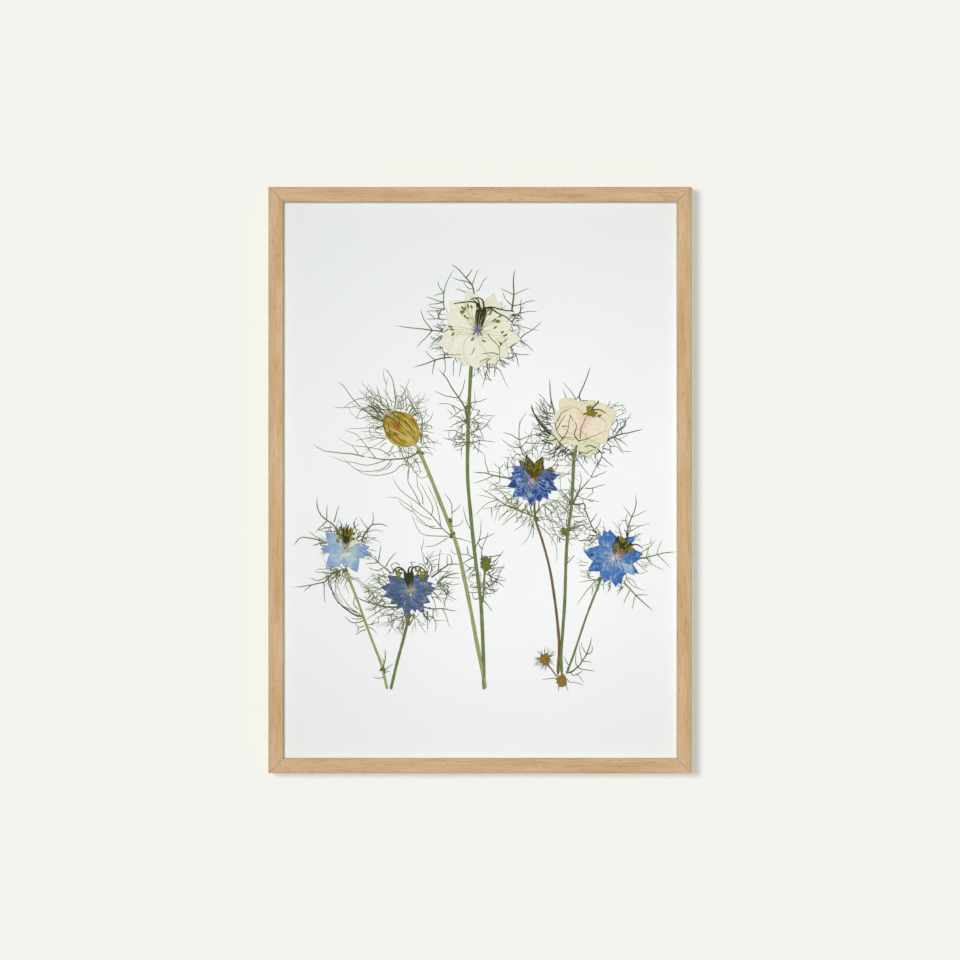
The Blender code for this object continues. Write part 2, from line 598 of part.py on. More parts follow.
def main():
    """Builds the framed plants."""
    clear_scene()
    pieces = new_collection("pressed_flower_frame")
    cutters = new_collection("cutters")
    materials = make_materials()
    add_frame(pieces, materials)
    add_sheets(pieces, materials)
    add_spacers(pieces, materials)
    for name, side, share in TABS:
        add_tab(name, side, share, pieces, materials["steel"])
    add_hanger(pieces, cutters, materials)

    card = bpy.data.objects.new("card_face", None)
    pieces.objects.link(card)
    card.location = (0, CARD_FRONT, WINDOW_CENTRE_Z)
    card.rotation_euler = (math.pi / 2, 0, 0)
    add_plants(card, pieces, materials)


main()
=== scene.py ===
"""Looks of a pressed flower frame: love-in-a-mist on white card under glass, in slim pale oak.

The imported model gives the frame, the sheets and the fittings. Everything that grew is remade here
as fine meshes: each petal, forked thread, stem, style and anther is a closed skin worked out with
numpy in card millimetres (x to the right, y up, lift out of the card towards the glass).
"""
import logging
import math
from dataclasses import dataclass, field
from enum import Enum

import bpy
import numpy as np
from numpy.typing import NDArray
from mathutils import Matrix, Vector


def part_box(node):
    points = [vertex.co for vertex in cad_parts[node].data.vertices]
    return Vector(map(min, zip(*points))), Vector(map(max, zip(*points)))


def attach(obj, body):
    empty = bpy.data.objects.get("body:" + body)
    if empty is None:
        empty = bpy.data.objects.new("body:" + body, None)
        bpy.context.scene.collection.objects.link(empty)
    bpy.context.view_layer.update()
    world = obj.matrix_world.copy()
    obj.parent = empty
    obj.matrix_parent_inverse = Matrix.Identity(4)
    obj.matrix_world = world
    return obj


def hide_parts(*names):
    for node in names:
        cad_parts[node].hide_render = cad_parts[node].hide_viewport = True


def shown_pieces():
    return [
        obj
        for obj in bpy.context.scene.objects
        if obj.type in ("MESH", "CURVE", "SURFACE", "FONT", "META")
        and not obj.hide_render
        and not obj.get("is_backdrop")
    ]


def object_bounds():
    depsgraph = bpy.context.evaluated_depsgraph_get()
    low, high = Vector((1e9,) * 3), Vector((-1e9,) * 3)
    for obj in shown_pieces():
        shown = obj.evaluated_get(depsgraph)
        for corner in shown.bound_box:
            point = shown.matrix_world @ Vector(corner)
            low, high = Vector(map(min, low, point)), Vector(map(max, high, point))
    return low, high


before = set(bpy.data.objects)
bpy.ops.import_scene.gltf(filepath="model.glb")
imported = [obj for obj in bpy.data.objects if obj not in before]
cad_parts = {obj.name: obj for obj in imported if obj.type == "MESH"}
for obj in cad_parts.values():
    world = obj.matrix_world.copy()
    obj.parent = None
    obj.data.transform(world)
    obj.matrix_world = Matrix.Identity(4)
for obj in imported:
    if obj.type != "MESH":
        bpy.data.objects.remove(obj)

Array = NDArray[np.float64]
Point = tuple[float, float]
Socket = bpy.types.NodeSocket

MM = 0.001
LOG = logging.getLogger("pressed_flower_frame")
CAD_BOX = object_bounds()
BODY = "root"


class Lift(Enum):
    """Depths over the card in millimetres, from the card's face to the glass."""

    THREAD = 0.45
    STEM = 0.75
    PETAL = 1.1
    OVER = 2.75
    PISTIL = 2.6


# ---- Colour and materials ----


def linear(hex_colour: str) -> tuple[float, float, float, float]:
    """Turns an sRGB hex colour into linear RGBA.

    Args:
        hex_colour: six hex digits, such as "C9AB80".

    Returns:
        Red, green and blue from 0 to 1 in linear light, and an alpha of 1.
    """
    srgb = [int(hex_colour[i:i + 2], 16) / 255 for i in (0, 2, 4)]
    light = [c / 12.92 if c <= 0.04045 else ((c + 0.055) / 1.055) ** 2.4 for c in srgb]
    return (light[0], light[1], light[2], 1.0)


class Graph:
    """The node tree of one material, with a Principled shader to finish into."""

    def __init__(self, name: str) -> None:
        """Starts an empty material of that name."""
        self.material = bpy.data.materials.new(name)
        self.material.use_nodes = True
        self.tree = self.material.node_tree
        self.tree.nodes.clear()
        self.output = self.node("ShaderNodeOutputMaterial")
        self.place = self.node("ShaderNodeTexCoord").outputs["Object"]

    def node(self, kind: str, inputs: dict | None = None, stops: tuple = (),
             **settings: object) -> bpy.types.Node:
        """Adds a node with its settings and links.

        Args:
            kind: the node's type name.
            inputs: input name or index to a value, or to the output socket that feeds it.
            stops: (position, hex colour) of a colour ramp's stops.
            settings: the node's own properties.

        Returns:
            The new node.
        """
        made = self.tree.nodes.new(kind)
        for key, value in settings.items():
            setattr(made, key, value)
        for key, value in (inputs or {}).items():
            if isinstance(value, bpy.types.NodeSocket):
                self.tree.links.new(value, made.inputs[key])
            else:
                made.inputs[key].default_value = value
        if stops:
            elements = made.color_ramp.elements
            while len(elements) < len(stops):
                elements.new(0.5)
            for element, (position, colour) in zip(elements, stops):
                element.position = position
                element.color = linear(colour)
        return made

    def noise(self, place: Socket, width: float | None = None, detail: float = 2.0,
              roughness: float = 0.5, distortion: float = 0.0) -> Socket:
        """Adds a noise.

        Args:
            place: the coordinates that it is read at.
            width: its grain in millimetres, or None for coordinates already in grains.
            detail: how many finer layers it has.
            roughness: how strong the finer layers are.
            distortion: how far it is stirred.

        Returns:
            The noise's value.
        """
        scale = 1.0 if width is None else 1 / (width * MM)
        return self.node("ShaderNodeTexNoise", {
            "Vector": place, "Scale": scale, "Detail": detail, "Roughness": roughness,
            "Distortion": distortion}).outputs[0]

    def calc(self, operation: str, *values: object) -> Socket:
        """Adds one step of arithmetic on sockets or numbers."""
        return self.node("ShaderNodeMath", dict(enumerate(values)), operation=operation).outputs[0]

    def stretch(self, place: Socket, scale: tuple) -> Socket:
        """Scales coordinates along each axis."""
        return self.node("ShaderNodeMapping", {"Vector": place, "Scale": scale}).outputs[0]

    def distance(self, spot: tuple[float, float, float]) -> Socket:
        """How far the surface is from a spot given in millimetres."""
        return self.node("ShaderNodeVectorMath", {0: self.place, 1: [v * MM for v in spot]},
                         operation="DISTANCE").outputs["Value"]

    def share(self, value: Socket, low: float, high: float, most: float = 1.0,
              least: float = 0.0) -> Socket:
        """Adds a clamped ramp that rises from least to most as the value goes from low to high."""
        return self.node("ShaderNodeMapRange", {
            "Value": value, "From Min": low, "From Max": high, "To Min": least,
            "To Max": most}).outputs[0]

    def ramp(self, value: Socket, *stops: tuple[float, str]) -> Socket:
        """Adds a colour ramp over the value."""
        return self.node("ShaderNodeValToRGB", {0: value}, stops).outputs[0]

    def blend(self, share: Socket, under: Socket | str, over: Socket | str) -> Socket:
        """Mixes two colours, each a socket or a hex colour, by a share."""
        under, over = (linear(each) if isinstance(each, str) else each for each in (under, over))
        return self.node("ShaderNodeMix", {"Factor": share, 6: under, 7: over},
                         data_type="RGBA").outputs[2]

    def end(self, shader: Socket) -> bpy.types.Material:
        """Links the shader to the material's surface, and returns the material."""
        self.tree.links.new(shader, self.output.inputs["Surface"])
        return self.material

    def principled(self, colour: object, height: Socket | None = None, relief: float = 0.2,
                   **values: object) -> bpy.types.Material:
        """Ends the graph in a Principled shader.

        Args:
            colour: the base colour, a socket or RGBA.
            height: a socket that gives the surface its relief, or None.
            relief: how strong that relief is.
            values: what goes into the shader's other sockets, with _ for a space.

        Returns:
            The finished material.
        """
        inputs: dict = {"Base Color": colour}
        for key, value in values.items():
            inputs[key.replace("_", " ")] = value
        if height is not None:
            bump = self.node("ShaderNodeBump", {"Height": height, "Strength": relief,
                                                "Distance": 0.2 * MM})
            inputs["Normal"] = bump.outputs["Normal"]
        return self.end(self.node("ShaderNodeBsdfPrincipled", inputs).outputs[0])


class PlantGraph(Graph):
    """A graph that also reads a skin's own UV map: along it, and across it."""

    def __init__(self, name: str) -> None:
        """Starts an empty material that knows the UV map."""
        super().__init__(name)
        self.uv = self.node("ShaderNodeUVMap", uv_map="UVMap").outputs[0]
        self.along, self.across = self.node("ShaderNodeSeparateXYZ", {0: self.uv}).outputs[:2]


@dataclass(frozen=True)
class Oak:
    """Straight-grained pale oak, planed and sealed with a matt clear lacquer.

    The eye sees fine fibre lines along each rail, short dark pores, and slow pinkish to golden
    drifts of tone. Widths are across the grain in millimetres, each with how many times longer
    it runs along the grain.
    """

    along: str
    pale: str = "DEC29C"
    middle: str = "D0AF86"
    dark: str = "BC976B"
    pore: str = "A07D52"
    fibre: tuple[float, float] = (0.35, 60)
    pores: tuple[float, float] = (0.28, 16)
    drift: tuple[float, float] = (5.0, 9)
    fibre_share: float = 0.55

    def build(self) -> bpy.types.Material:
        """Builds the wood with its grain along X or Z."""
        graph = Graph(f"oak_matt_lacquer_{self.along}")

        def stretched(width: float, length: float) -> Socket:
            """Coordinates that are one unit per width across the grain, and longer along it."""
            across = 1 / (width * MM)
            scale = [across, across, across]
            scale["XYZ".index(self.along)] = across / length
            return graph.stretch(graph.place, scale)

        drift = graph.noise(stretched(*self.drift), detail=3.0)
        fibre = graph.noise(stretched(*self.fibre), detail=4.0, roughness=0.65)
        pores = graph.noise(stretched(*self.pores), detail=1.0)
        slow = graph.calc("MULTIPLY", drift, 1 - self.fibre_share)
        both = graph.calc("MULTIPLY_ADD", fibre, self.fibre_share, slow)
        wood = graph.ramp(both, (0.33, self.dark), (0.5, self.middle), (0.66, self.pale))
        pitted = graph.share(pores, 0.66, 0.74)
        relief = graph.calc("SUBTRACT", fibre, pitted)
        return graph.principled(graph.blend(pitted, wood, self.pore), relief, 0.25,
                                Roughness=0.5, Specular_IOR_Level=0.35)


@dataclass(frozen=True)
class PictureGlass:
    """Clear float glass: it bends and mirrors light, and lets lamps through to the plants."""

    roughness: float = 0.0
    index: float = 1.5

    def build(self) -> bpy.types.Material:
        """Builds the glass; lamp light and bounced light pass straight through it."""
        graph = Graph("picture_glass")
        glass = graph.node("ShaderNodeBsdfPrincipled", {
            "Base Color": (1, 1, 1, 1), "Roughness": self.roughness, "IOR": self.index,
            "Transmission Weight": 1.0})
        clear = graph.node("ShaderNodeBsdfTransparent")
        path = graph.node("ShaderNodeLightPath").outputs
        passing = graph.calc("MAXIMUM", path["Is Shadow Ray"], path["Is Diffuse Ray"])
        return graph.end(graph.node("ShaderNodeMixShader", {
            0: passing, 1: glass.outputs[0], 2: clear.outputs[0]}).outputs[0])


@dataclass(frozen=True)
class Sheet:
    """Card or board: a plain tone with fibres pressed into it and a slow drift of shade.

    The fibre and the drift are widths in millimetres. A sheet given a painted shade colour darkens
    to it away from its lit spot, between the two reaches: painted shade, which makes the card
    darker and greyer towards its edges, most at the upper left.
    """

    name: str
    colour: str
    shade: str
    fibre: float
    contrast: float
    relief: float
    roughness: float = 0.85
    drift: float = 90.0
    painted_shade: str | None = None
    lit_spot: tuple[float, float, float] = (25.0, 0.0, -135.0)
    lit_reach: float = 60.0
    shade_reach: float = 210.0

    def build(self) -> bpy.types.Material:
        """Builds the sheet from a fine and a slow noise in object space."""
        graph = Graph(self.name)
        fine = graph.noise(graph.place, self.fibre, 4.0, 0.6)
        both = graph.calc("MULTIPLY", fine, graph.noise(graph.place, self.drift))
        shaded = graph.share(both, 0.14, 0.36, self.contrast)
        tone = graph.blend(shaded, self.colour, self.shade)
        # Painted shade: the sheet darkens and greys away from its lit spot, most at the card's upper left.
        if self.painted_shade:
            away = graph.distance(self.lit_spot)
            shade_share = graph.share(away, self.lit_reach * MM, self.shade_reach * MM)
            tone = graph.blend(shade_share, tone, self.painted_shade)
        return graph.principled(tone, fine, self.relief, Roughness=self.roughness,
                                Specular_IOR_Level=0.2)


@dataclass(frozen=True)
class ZincSteel:
    """Cold rolled steel strip with bright zinc plating: brushed lines and small dull blooms."""

    name: str = "zinc_plated_steel"
    bright: str = "C9CACB"
    dull: str = "9A9B9C"
    line_width: float = 0.12
    line_stretch: float = 40.0
    bloom: float = 3.0

    def build(self) -> bpy.types.Material:
        """Builds the plating from stretched lines and soft blotches."""
        graph = Graph(self.name)
        across = 1 / (self.line_width * MM)
        lines = graph.noise(graph.stretch(graph.place, (across / self.line_stretch, across, across)))
        blooms = graph.noise(graph.place, self.bloom, 3.0)
        colour = graph.ramp(graph.calc("ADD", lines, blooms), (0.35, self.dull), (0.65, self.bright))
        return graph.principled(colour, lines, 0.1, Metallic=1.0,
                                Roughness=graph.share(blooms, 0.0, 1.0, 0.5, 0.25))


@dataclass(frozen=True)
class PetalFinish:
    """A dried petal: papery, with veins along it and pigment that dried in patches.

    heart is the colour at the claw, blade the body, tip the end, vein the fine lines and the
    midrib, faded the patches that lost their pigment, and the edge colour is painted shade along
    the edges, which outlines each petal against those under it; on the royal blue petals it is
    paler, a painted highlight. Tone, a value on each petal, slides the body to deep, and so does
    the mottling. patch and crumple are the sizes of the faded and the mottled patches in
    millimetres.
    """

    name: str
    heart: str
    blade: str
    tip: str
    deep: str
    vein: str
    faded: str
    painted_edge: str
    vein_share: float = 0.45
    faded_share: float = 0.5
    painted_edge_share: float = 0.6
    mottle: float = 0.3
    patch: float = 2.6
    crumple: float = 1.3

    def build(self) -> bpy.types.Material:
        """Builds the petal from its own UV map (along, across) and its tone attribute."""
        graph = PlantGraph(f"dried_petal_{self.name}")
        tone = graph.node("ShaderNodeAttribute", attribute_name="tone").outputs["Fac"]
        patches = graph.noise(graph.place, self.patch, 4.0, 0.6)
        ragged = graph.calc("MULTIPLY_ADD", patches, 0.35, graph.along)
        colour = graph.ramp(ragged, (0.22, self.heart), (0.5, self.blade), (1.0, self.tip))
        colour = graph.blend(tone, colour, self.deep)
        crumpled = graph.noise(graph.place, self.crumple, distortion=1.2)
        colour = graph.blend(graph.share(crumpled, 0.47, 0.57, self.mottle), colour, self.deep)
        veins = graph.noise(graph.stretch(graph.uv, (2.6, 11.0, 1.0)), None, 4.0, 0.65, 0.8)
        colour = graph.blend(graph.share(veins, 0.5, 0.64, self.vein_share), colour, self.vein)
        colour = graph.blend(graph.share(patches, 0.5, 0.66, self.faded_share), colour, self.faded)
        # Painted shade along each petal's edges, which outlines it against the petals under it; on the royal
        # blue petals the edge colour is paler, a painted highlight.
        outwards = graph.calc("ABSOLUTE", graph.calc("SUBTRACT", graph.across, 0.5))
        uneven = graph.calc("MULTIPLY_ADD", patches, 0.12, outwards)
        colour = graph.blend(graph.share(uneven, 0.44, 0.54, self.painted_edge_share), colour, self.painted_edge)
        midrib = graph.share(outwards, 0.03, 0.005, self.vein_share)
        return graph.principled(graph.blend(midrib, colour, self.vein), veins, 0.6,
                                Roughness=0.7, Specular_IOR_Level=0.25)


@dataclass(frozen=True)
class FibreFinish:
    """A dried stem, thread or style: long fibres in paler and darker streaks, browning in places."""

    name: str
    dark: str
    light: str
    brown: str
    brown_share: float = 0.35
    patch: float = 7.0
    roughness: float = 0.65

    def build(self) -> bpy.types.Material:
        """Builds the fibre streaks from UV (along in millimetres, across) and soft patches."""
        graph = PlantGraph(f"dried_{self.name}")
        streaks = graph.noise(graph.stretch(graph.uv, (0.25, 7.0, 1.0)), detail=3.0)
        colour = graph.ramp(streaks, (0.32, self.dark), (0.68, self.light))
        browned = graph.share(graph.noise(graph.place, self.patch, 3.0), 0.5, 0.7, self.brown_share)
        return graph.principled(graph.blend(browned, colour, self.brown), streaks, 0.4,
                                Roughness=self.roughness, Specular_IOR_Level=0.3)


@dataclass(frozen=True)
class PodFinish:
    """A dried seed pod: leathery mustard skin, dark seams between the swollen chambers.

    The blotches' width, and the russet spot's place and size, are in millimetres.
    """

    skin: str = "A28C24"
    sunlit: str = "CDB252"
    seam: str = "44360C"
    russet: str = "B8642C"
    seams: float = 6.0
    blotch: float = 4.2
    spot: tuple[float, float, float] = (-44.3, -14.4, -95.6)
    spot_edge: tuple[float, float] = (4.9, 3.6)
    spot_raggedness: float = 4.5

    def build(self) -> bpy.types.Material:
        """Builds the pod: seams follow the UV across, blotches follow object space."""
        graph = PlantGraph("dried_seed_pod")
        blotch = graph.noise(graph.place, self.blotch, 4.0)
        skin = graph.ramp(blotch, (0.38, self.skin), (0.62, self.sunlit))
        ragged = graph.calc("MULTIPLY_ADD", blotch, self.spot_raggedness * MM,
                            graph.distance(self.spot))
        outer, inner = (edge * MM for edge in self.spot_edge)
        skin = graph.blend(graph.share(ragged, outer, inner, 0.8), skin, self.russet)
        waver = graph.calc("MULTIPLY_ADD", blotch, 0.16, graph.across)
        wave = graph.calc("COSINE", graph.calc("MULTIPLY", waver, self.seams * math.tau))
        skin = graph.blend(graph.share(wave, 0.74, 0.97, 0.75), skin, self.seam)
        skin = graph.blend(graph.share(graph.along, 0.86, 1.0, 0.8), skin, self.seam)
        return graph.principled(skin, wave, 0.3, Roughness=0.45, Specular_IOR_Level=0.4)


class Finish(Enum):
    """Every finish of the framed plants by the name it is asked for."""

    OAK_X = Oak("X")
    OAK_Z = Oak("Z")
    GLASS = PictureGlass()
    # The card's last colour is painted shade, which greys it towards its edges and most at the upper left.
    CARD = Sheet("smooth_white_card", "F7F9F9", "F1F4F3", 0.5, 0.6, 0.05, painted_shade="E1E5E2")
    BOARD = Sheet("bare_fibreboard", "A98A62", "7E6140", 0.7, 0.9, 0.5)
    STEEL = ZincSteel()
    GREEN_STEM = FibreFinish("green_stem", "56642F", "8A9662", "6B6A35", 0.5)
    PALE_STEM = FibreFinish("pale_stem", "7C8A4D", "AFB981", "9A934F", 0.5)
    BROWN_STEM = FibreFinish("brown_stem", "5B4B30", "8C7A52", "6E4A30", 0.6)
    DARK_THREAD = FibreFinish("dark_thread", "2F3A24", "5A6641", "474420", 0.4, 5.0)
    OLIVE_THREAD = FibreFinish("olive_thread", "454F2A", "7C8452", "706A30", 0.5, 5.0)
    PALE_THREAD = FibreFinish("pale_thread", "636E42", "939A66", "8C8240", 0.5, 5.0)
    STYLE = FibreFinish("dark_style", "1C1B0E", "504A26", "3A2412", 0.5, 2.0)
    ANTHER = FibreFinish("olive_anther", "6A6410", "A39A30", "4A3E10", 0.5, 1.0)
    FILAMENT = FibreFinish("violet_filament", "3F3C78", "7876B4", "34305A", 0.5, 1.0)
    BUD = FibreFinish("green_bud", "4E5A22", "8A9440", "3A3A18", 0.6, 1.5)
    RUSSET = FibreFinish("russet_bud", "7A5A2A", "A98A45", "6A3C1E", 0.6, 1.5)
    HEARTWOOD = FibreFinish("brown_ovary", "3E2A0E", "7E6218", "552C10", 0.6, 1.2)
    RIB = FibreFinish("pale_rib", "B8A380", "DCD0B0", "A07F4A", 0.4, 3.0)
    FINE_FILAMENT = FibreFinish("pale_filament", "A9A888", "D2D0B4", "8A8660", 0.4, 2.0)
    POD = PodFinish()
    BLUSH = FibreFinish("blush_heart", "B9A0A0", "DDC9C2", "A88E8A", 0.5, 1.0)
    BLEACHED = FibreFinish("bleached_spot", "E2E4DE", "F4F4F0", "D8D4CC", 0.3, 1.0)
    RUST = FibreFinish("rust_spot", "8A5A3C", "A87E5E", "A0583A", 0.6, 0.8)
    STREAK = FibreFinish("pale_streak", "9FB0CE", "CFD4E2", "8FA2C8", 0.6, 1.5)
    # Each petal finish's seventh colour is painted shade along its edges; the royal blue one's is a painted
    # highlight.
    WHITE_PETAL = PetalFinish("white", "DCDFCC", "EFECD7", "EDEBD6", "DEDDC4", "CBC8A8",
                              "ECEDE3", "C2BE9A", 0.32, 0.6, 0.4, 0.15)
    CREAM_PETAL = PetalFinish("cream", "EACFB8", "F1E1CD", "EFEACF", "DFE0BA", "C9B292",
                              "F0D6C2", "BDB88A", 0.35, 0.55, 0.5, 0.15)
    PALE_PETAL = PetalFinish("pale_blue", "E8E8D8", "B0CDCB", "849FCE", "748FC4", "7494B4",
                             "CED9D0", "6F93C4", 0.5, 0.65, 0.55, 0.3)
    DUSK_PETAL = PetalFinish("dusk_blue", "BCC2C6", "687F9C", "586C92", "45628A", "323B54",
                             "9E98AA", "2C3450", 0.75, 0.75, 0.7, 0.55)
    ROYAL_PETAL = PetalFinish("royal_blue", "D6CBD6", "5C7EC6", "4264B2", "243A7A", "182450",
                              "A5C2DC", "B6D2E2", 0.75, 0.8, 0.5, 0.85)
    SKY_PETAL = PetalFinish("sky_blue", "C4CED8", "79A0C6", "4C82C2", "2F64AC", "284E8A",
                            "AFC6D6", "2A5596", 0.75, 0.65, 0.6, 0.45)
    GREENED_PETAL = PetalFinish("greened", "4A3C1A", "6E6A1C", "34342C", "2E3A48", "201E0C",
                                "96922A", "2C3350", 0.8, 0.8, 0.8, 0.9, 1.5)

    def material(self) -> bpy.types.Material:
        """The finish's material, built the first time that it is asked for."""
        made = bpy.data.materials.get(getattr(self, "built", ""))
        if made is None:
            made = self.value.build()
            self.built = made.name
        return made


# ---- Skins: closed surfaces worked out as whole arrays ----


@dataclass
class Skin:
    """A closed surface while it is put together, in card millimetres."""

    points: Array
    quads: NDArray[np.int64]
    triangles: NDArray[np.int64]
    uv: Array
    tone: Array
    finish: Finish = Finish.GREEN_STEM

    def finished(self, finish: Finish) -> "Skin":
        """The same skin with another finish."""
        self.finish = finish
        return self


# How far each path starts along the pattern after the one before it, in millimetres
PATTERN_STEP = 37.0


def smooth_path(points: Array, count: int) -> Array:
    """A smooth curve through points: a Catmull-Rom spline, read at even steps of length.

    Args:
        points: (k, d) control points, k at least 2.
        count: how many points to read.

    Returns:
        (count, d) points on the curve.
    """
    padded = np.vstack([2 * points[0] - points[1], points, 2 * points[-1] - points[-2]])
    steps = np.linspace(0, len(points) - 1, max(8 * len(points), 2 * count))
    span = np.minimum(steps.astype(int), len(points) - 2)
    t = (steps - span)[:, None]
    a, b, c, d = (padded[span + i] for i in range(4))
    fine = 0.5 * (2 * b + (c - a) * t + (2 * a - 5 * b + 4 * c - d) * t ** 2
                  + (3 * b - a - 3 * c + d) * t ** 3)
    length = np.concatenate([[0], np.cumsum(np.linalg.norm(np.diff(fine, axis=0), axis=1))])
    even = np.linspace(0, length[-1], count)
    return np.column_stack([np.interp(even, length, fine[:, i]) for i in range(fine.shape[1])])


def sweep(paths: Array, widths: Array, depths: Array, sides: int, ripple: Array | float = 0.0,
          ridges: tuple[int, float] = (0, 0.0), tone: Array | float = 0.0,
          by_length: bool = True, heading: Array | None = None) -> Skin:
    """Carries a flattened ring along many paths at once, and closes both ends with a pole.

    At each path point the ring is the ellipse side * (width / 2) * cos(a) + out * (depth / 2) *
    sin(a), where side lies in the card's plane across the path and out rises from the card. The
    ripple is added to the lift, and ridges make the ring's radius 1 + share * cos(count * a).

    Args:
        paths: (n, m, 3) points.
        widths: (n, m) full widths.
        depths: (n, m) full depths.
        sides: how many corners each ring has.
        ripple: (n, m, sides) lifts to add, or 0.
        ridges: how many ridges run along the skin, and their share of the radius.
        tone: (n,) tone of each path, or one for all.
        by_length: the UV runs in millimetres along the path, and otherwise from 0 to 1.
        heading: (n, 3) one direction for all the rings of a path, or None to follow the path.

    Returns:
        The skin of all the tubes.
    """
    n, m, _ = paths.shape
    angle = math.tau * np.arange(sides) / sides
    tangent = (np.gradient(paths, axis=1) if heading is None
               else np.repeat(heading[:, None], m, axis=1))
    tangent /= np.maximum(np.linalg.norm(tangent, axis=2, keepdims=True), 1e-9)
    side = np.cross(tangent, (0, 0, 1))
    side /= np.maximum(np.linalg.norm(side, axis=2, keepdims=True), 1e-9)
    out = np.cross(side, tangent)
    radius = 1 + ridges[1] * np.cos(ridges[0] * angle)
    ring = (paths[:, :, None]
            + side[:, :, None] * (widths[:, :, None] / 2 * np.cos(angle) * radius)[..., None]
            + out[:, :, None] * (depths[:, :, None] / 2 * np.sin(angle) * radius)[..., None])
    ring[..., 2] += ripple
    points = np.concatenate([ring.reshape(n, m * sides, 3), ring[:, 0].mean(1, keepdims=True),
                             ring[:, -1].mean(1, keepdims=True)], axis=1)
    run = np.linspace(0, 1, m)[None] * np.ones((n, 1))
    if by_length:
        gaps = np.linalg.norm(np.diff(paths, axis=1), axis=2)
        run = np.concatenate([np.zeros((n, 1)), np.cumsum(gaps, axis=1)], axis=1)
        run += PATTERN_STEP * np.arange(n)[:, None]
    across = 0.5 + 0.5 * np.cos(angle)
    uv = np.stack([np.repeat(run[:, :, None], sides, 2),
                   np.broadcast_to(across, (n, m, sides))], axis=-1).reshape(n, m * sides, 2)
    poles = np.stack([np.stack([run[:, 0], np.full(n, 0.5)], -1),
                      np.stack([run[:, -1], np.full(n, 0.5)], -1)], axis=1)
    uv = np.concatenate([uv, poles], axis=1)
    row, corner = np.meshgrid(np.arange(m - 1), np.arange(sides), indexing="ij")
    after = (corner + 1) % sides
    quad = np.stack([row * sides + corner, (row + 1) * sides + corner,
                     (row + 1) * sides + after, row * sides + after], -1).reshape(-1, 4)
    k = np.arange(sides)
    follow = (k + 1) % sides
    last = (m - 1) * sides
    start = np.stack([np.full(sides, m * sides), k, follow], -1)
    end = np.stack([np.full(sides, m * sides + 1), last + follow, last + k], -1)
    offset = (np.arange(n) * (m * sides + 2))[:, None, None]
    total = n * (m * sides + 2)
    tones = np.repeat(np.broadcast_to(np.asarray(tone, float), (n,)), m * sides + 2)
    return Skin(points.reshape(total, 3), (quad[None] + offset).reshape(-1, 4),
                (np.vstack([start, end])[None] + offset).reshape(-1, 3),
                uv.reshape(total, 2), tones)


def ovals(centres: Array, angles: Array, lengths: Array, widths: Array, depths: Array,
          tone: Array | float = 0.0, rows: int = 7, sides: int = 8) -> Skin:
    """Many small closed ovals, such as anthers: a ring swept with a half-circle profile.

    Args:
        centres: (n, 3) middle points.
        angles: (n,) direction of each long axis on the card, in degrees.
        lengths: (n,) full lengths.
        widths: (n,) full widths.
        depths: (n,) full depths.
        tone: tone of each oval.
        rows: rings along each oval.
        sides: corners of each ring.

    Returns:
        The skin of all the ovals.
    """
    share = np.linspace(-0.985, 0.985, rows)
    turn = np.radians(angles)
    axis = np.stack([np.cos(turn), np.sin(turn), np.zeros_like(turn)], -1)
    paths = centres[:, None] + axis[:, None] * (lengths[:, None] / 2 * share)[..., None]
    profile = np.sqrt(1 - share ** 2)
    return sweep(paths, widths[:, None] * profile, depths[:, None] * profile, sides, tone=tone)


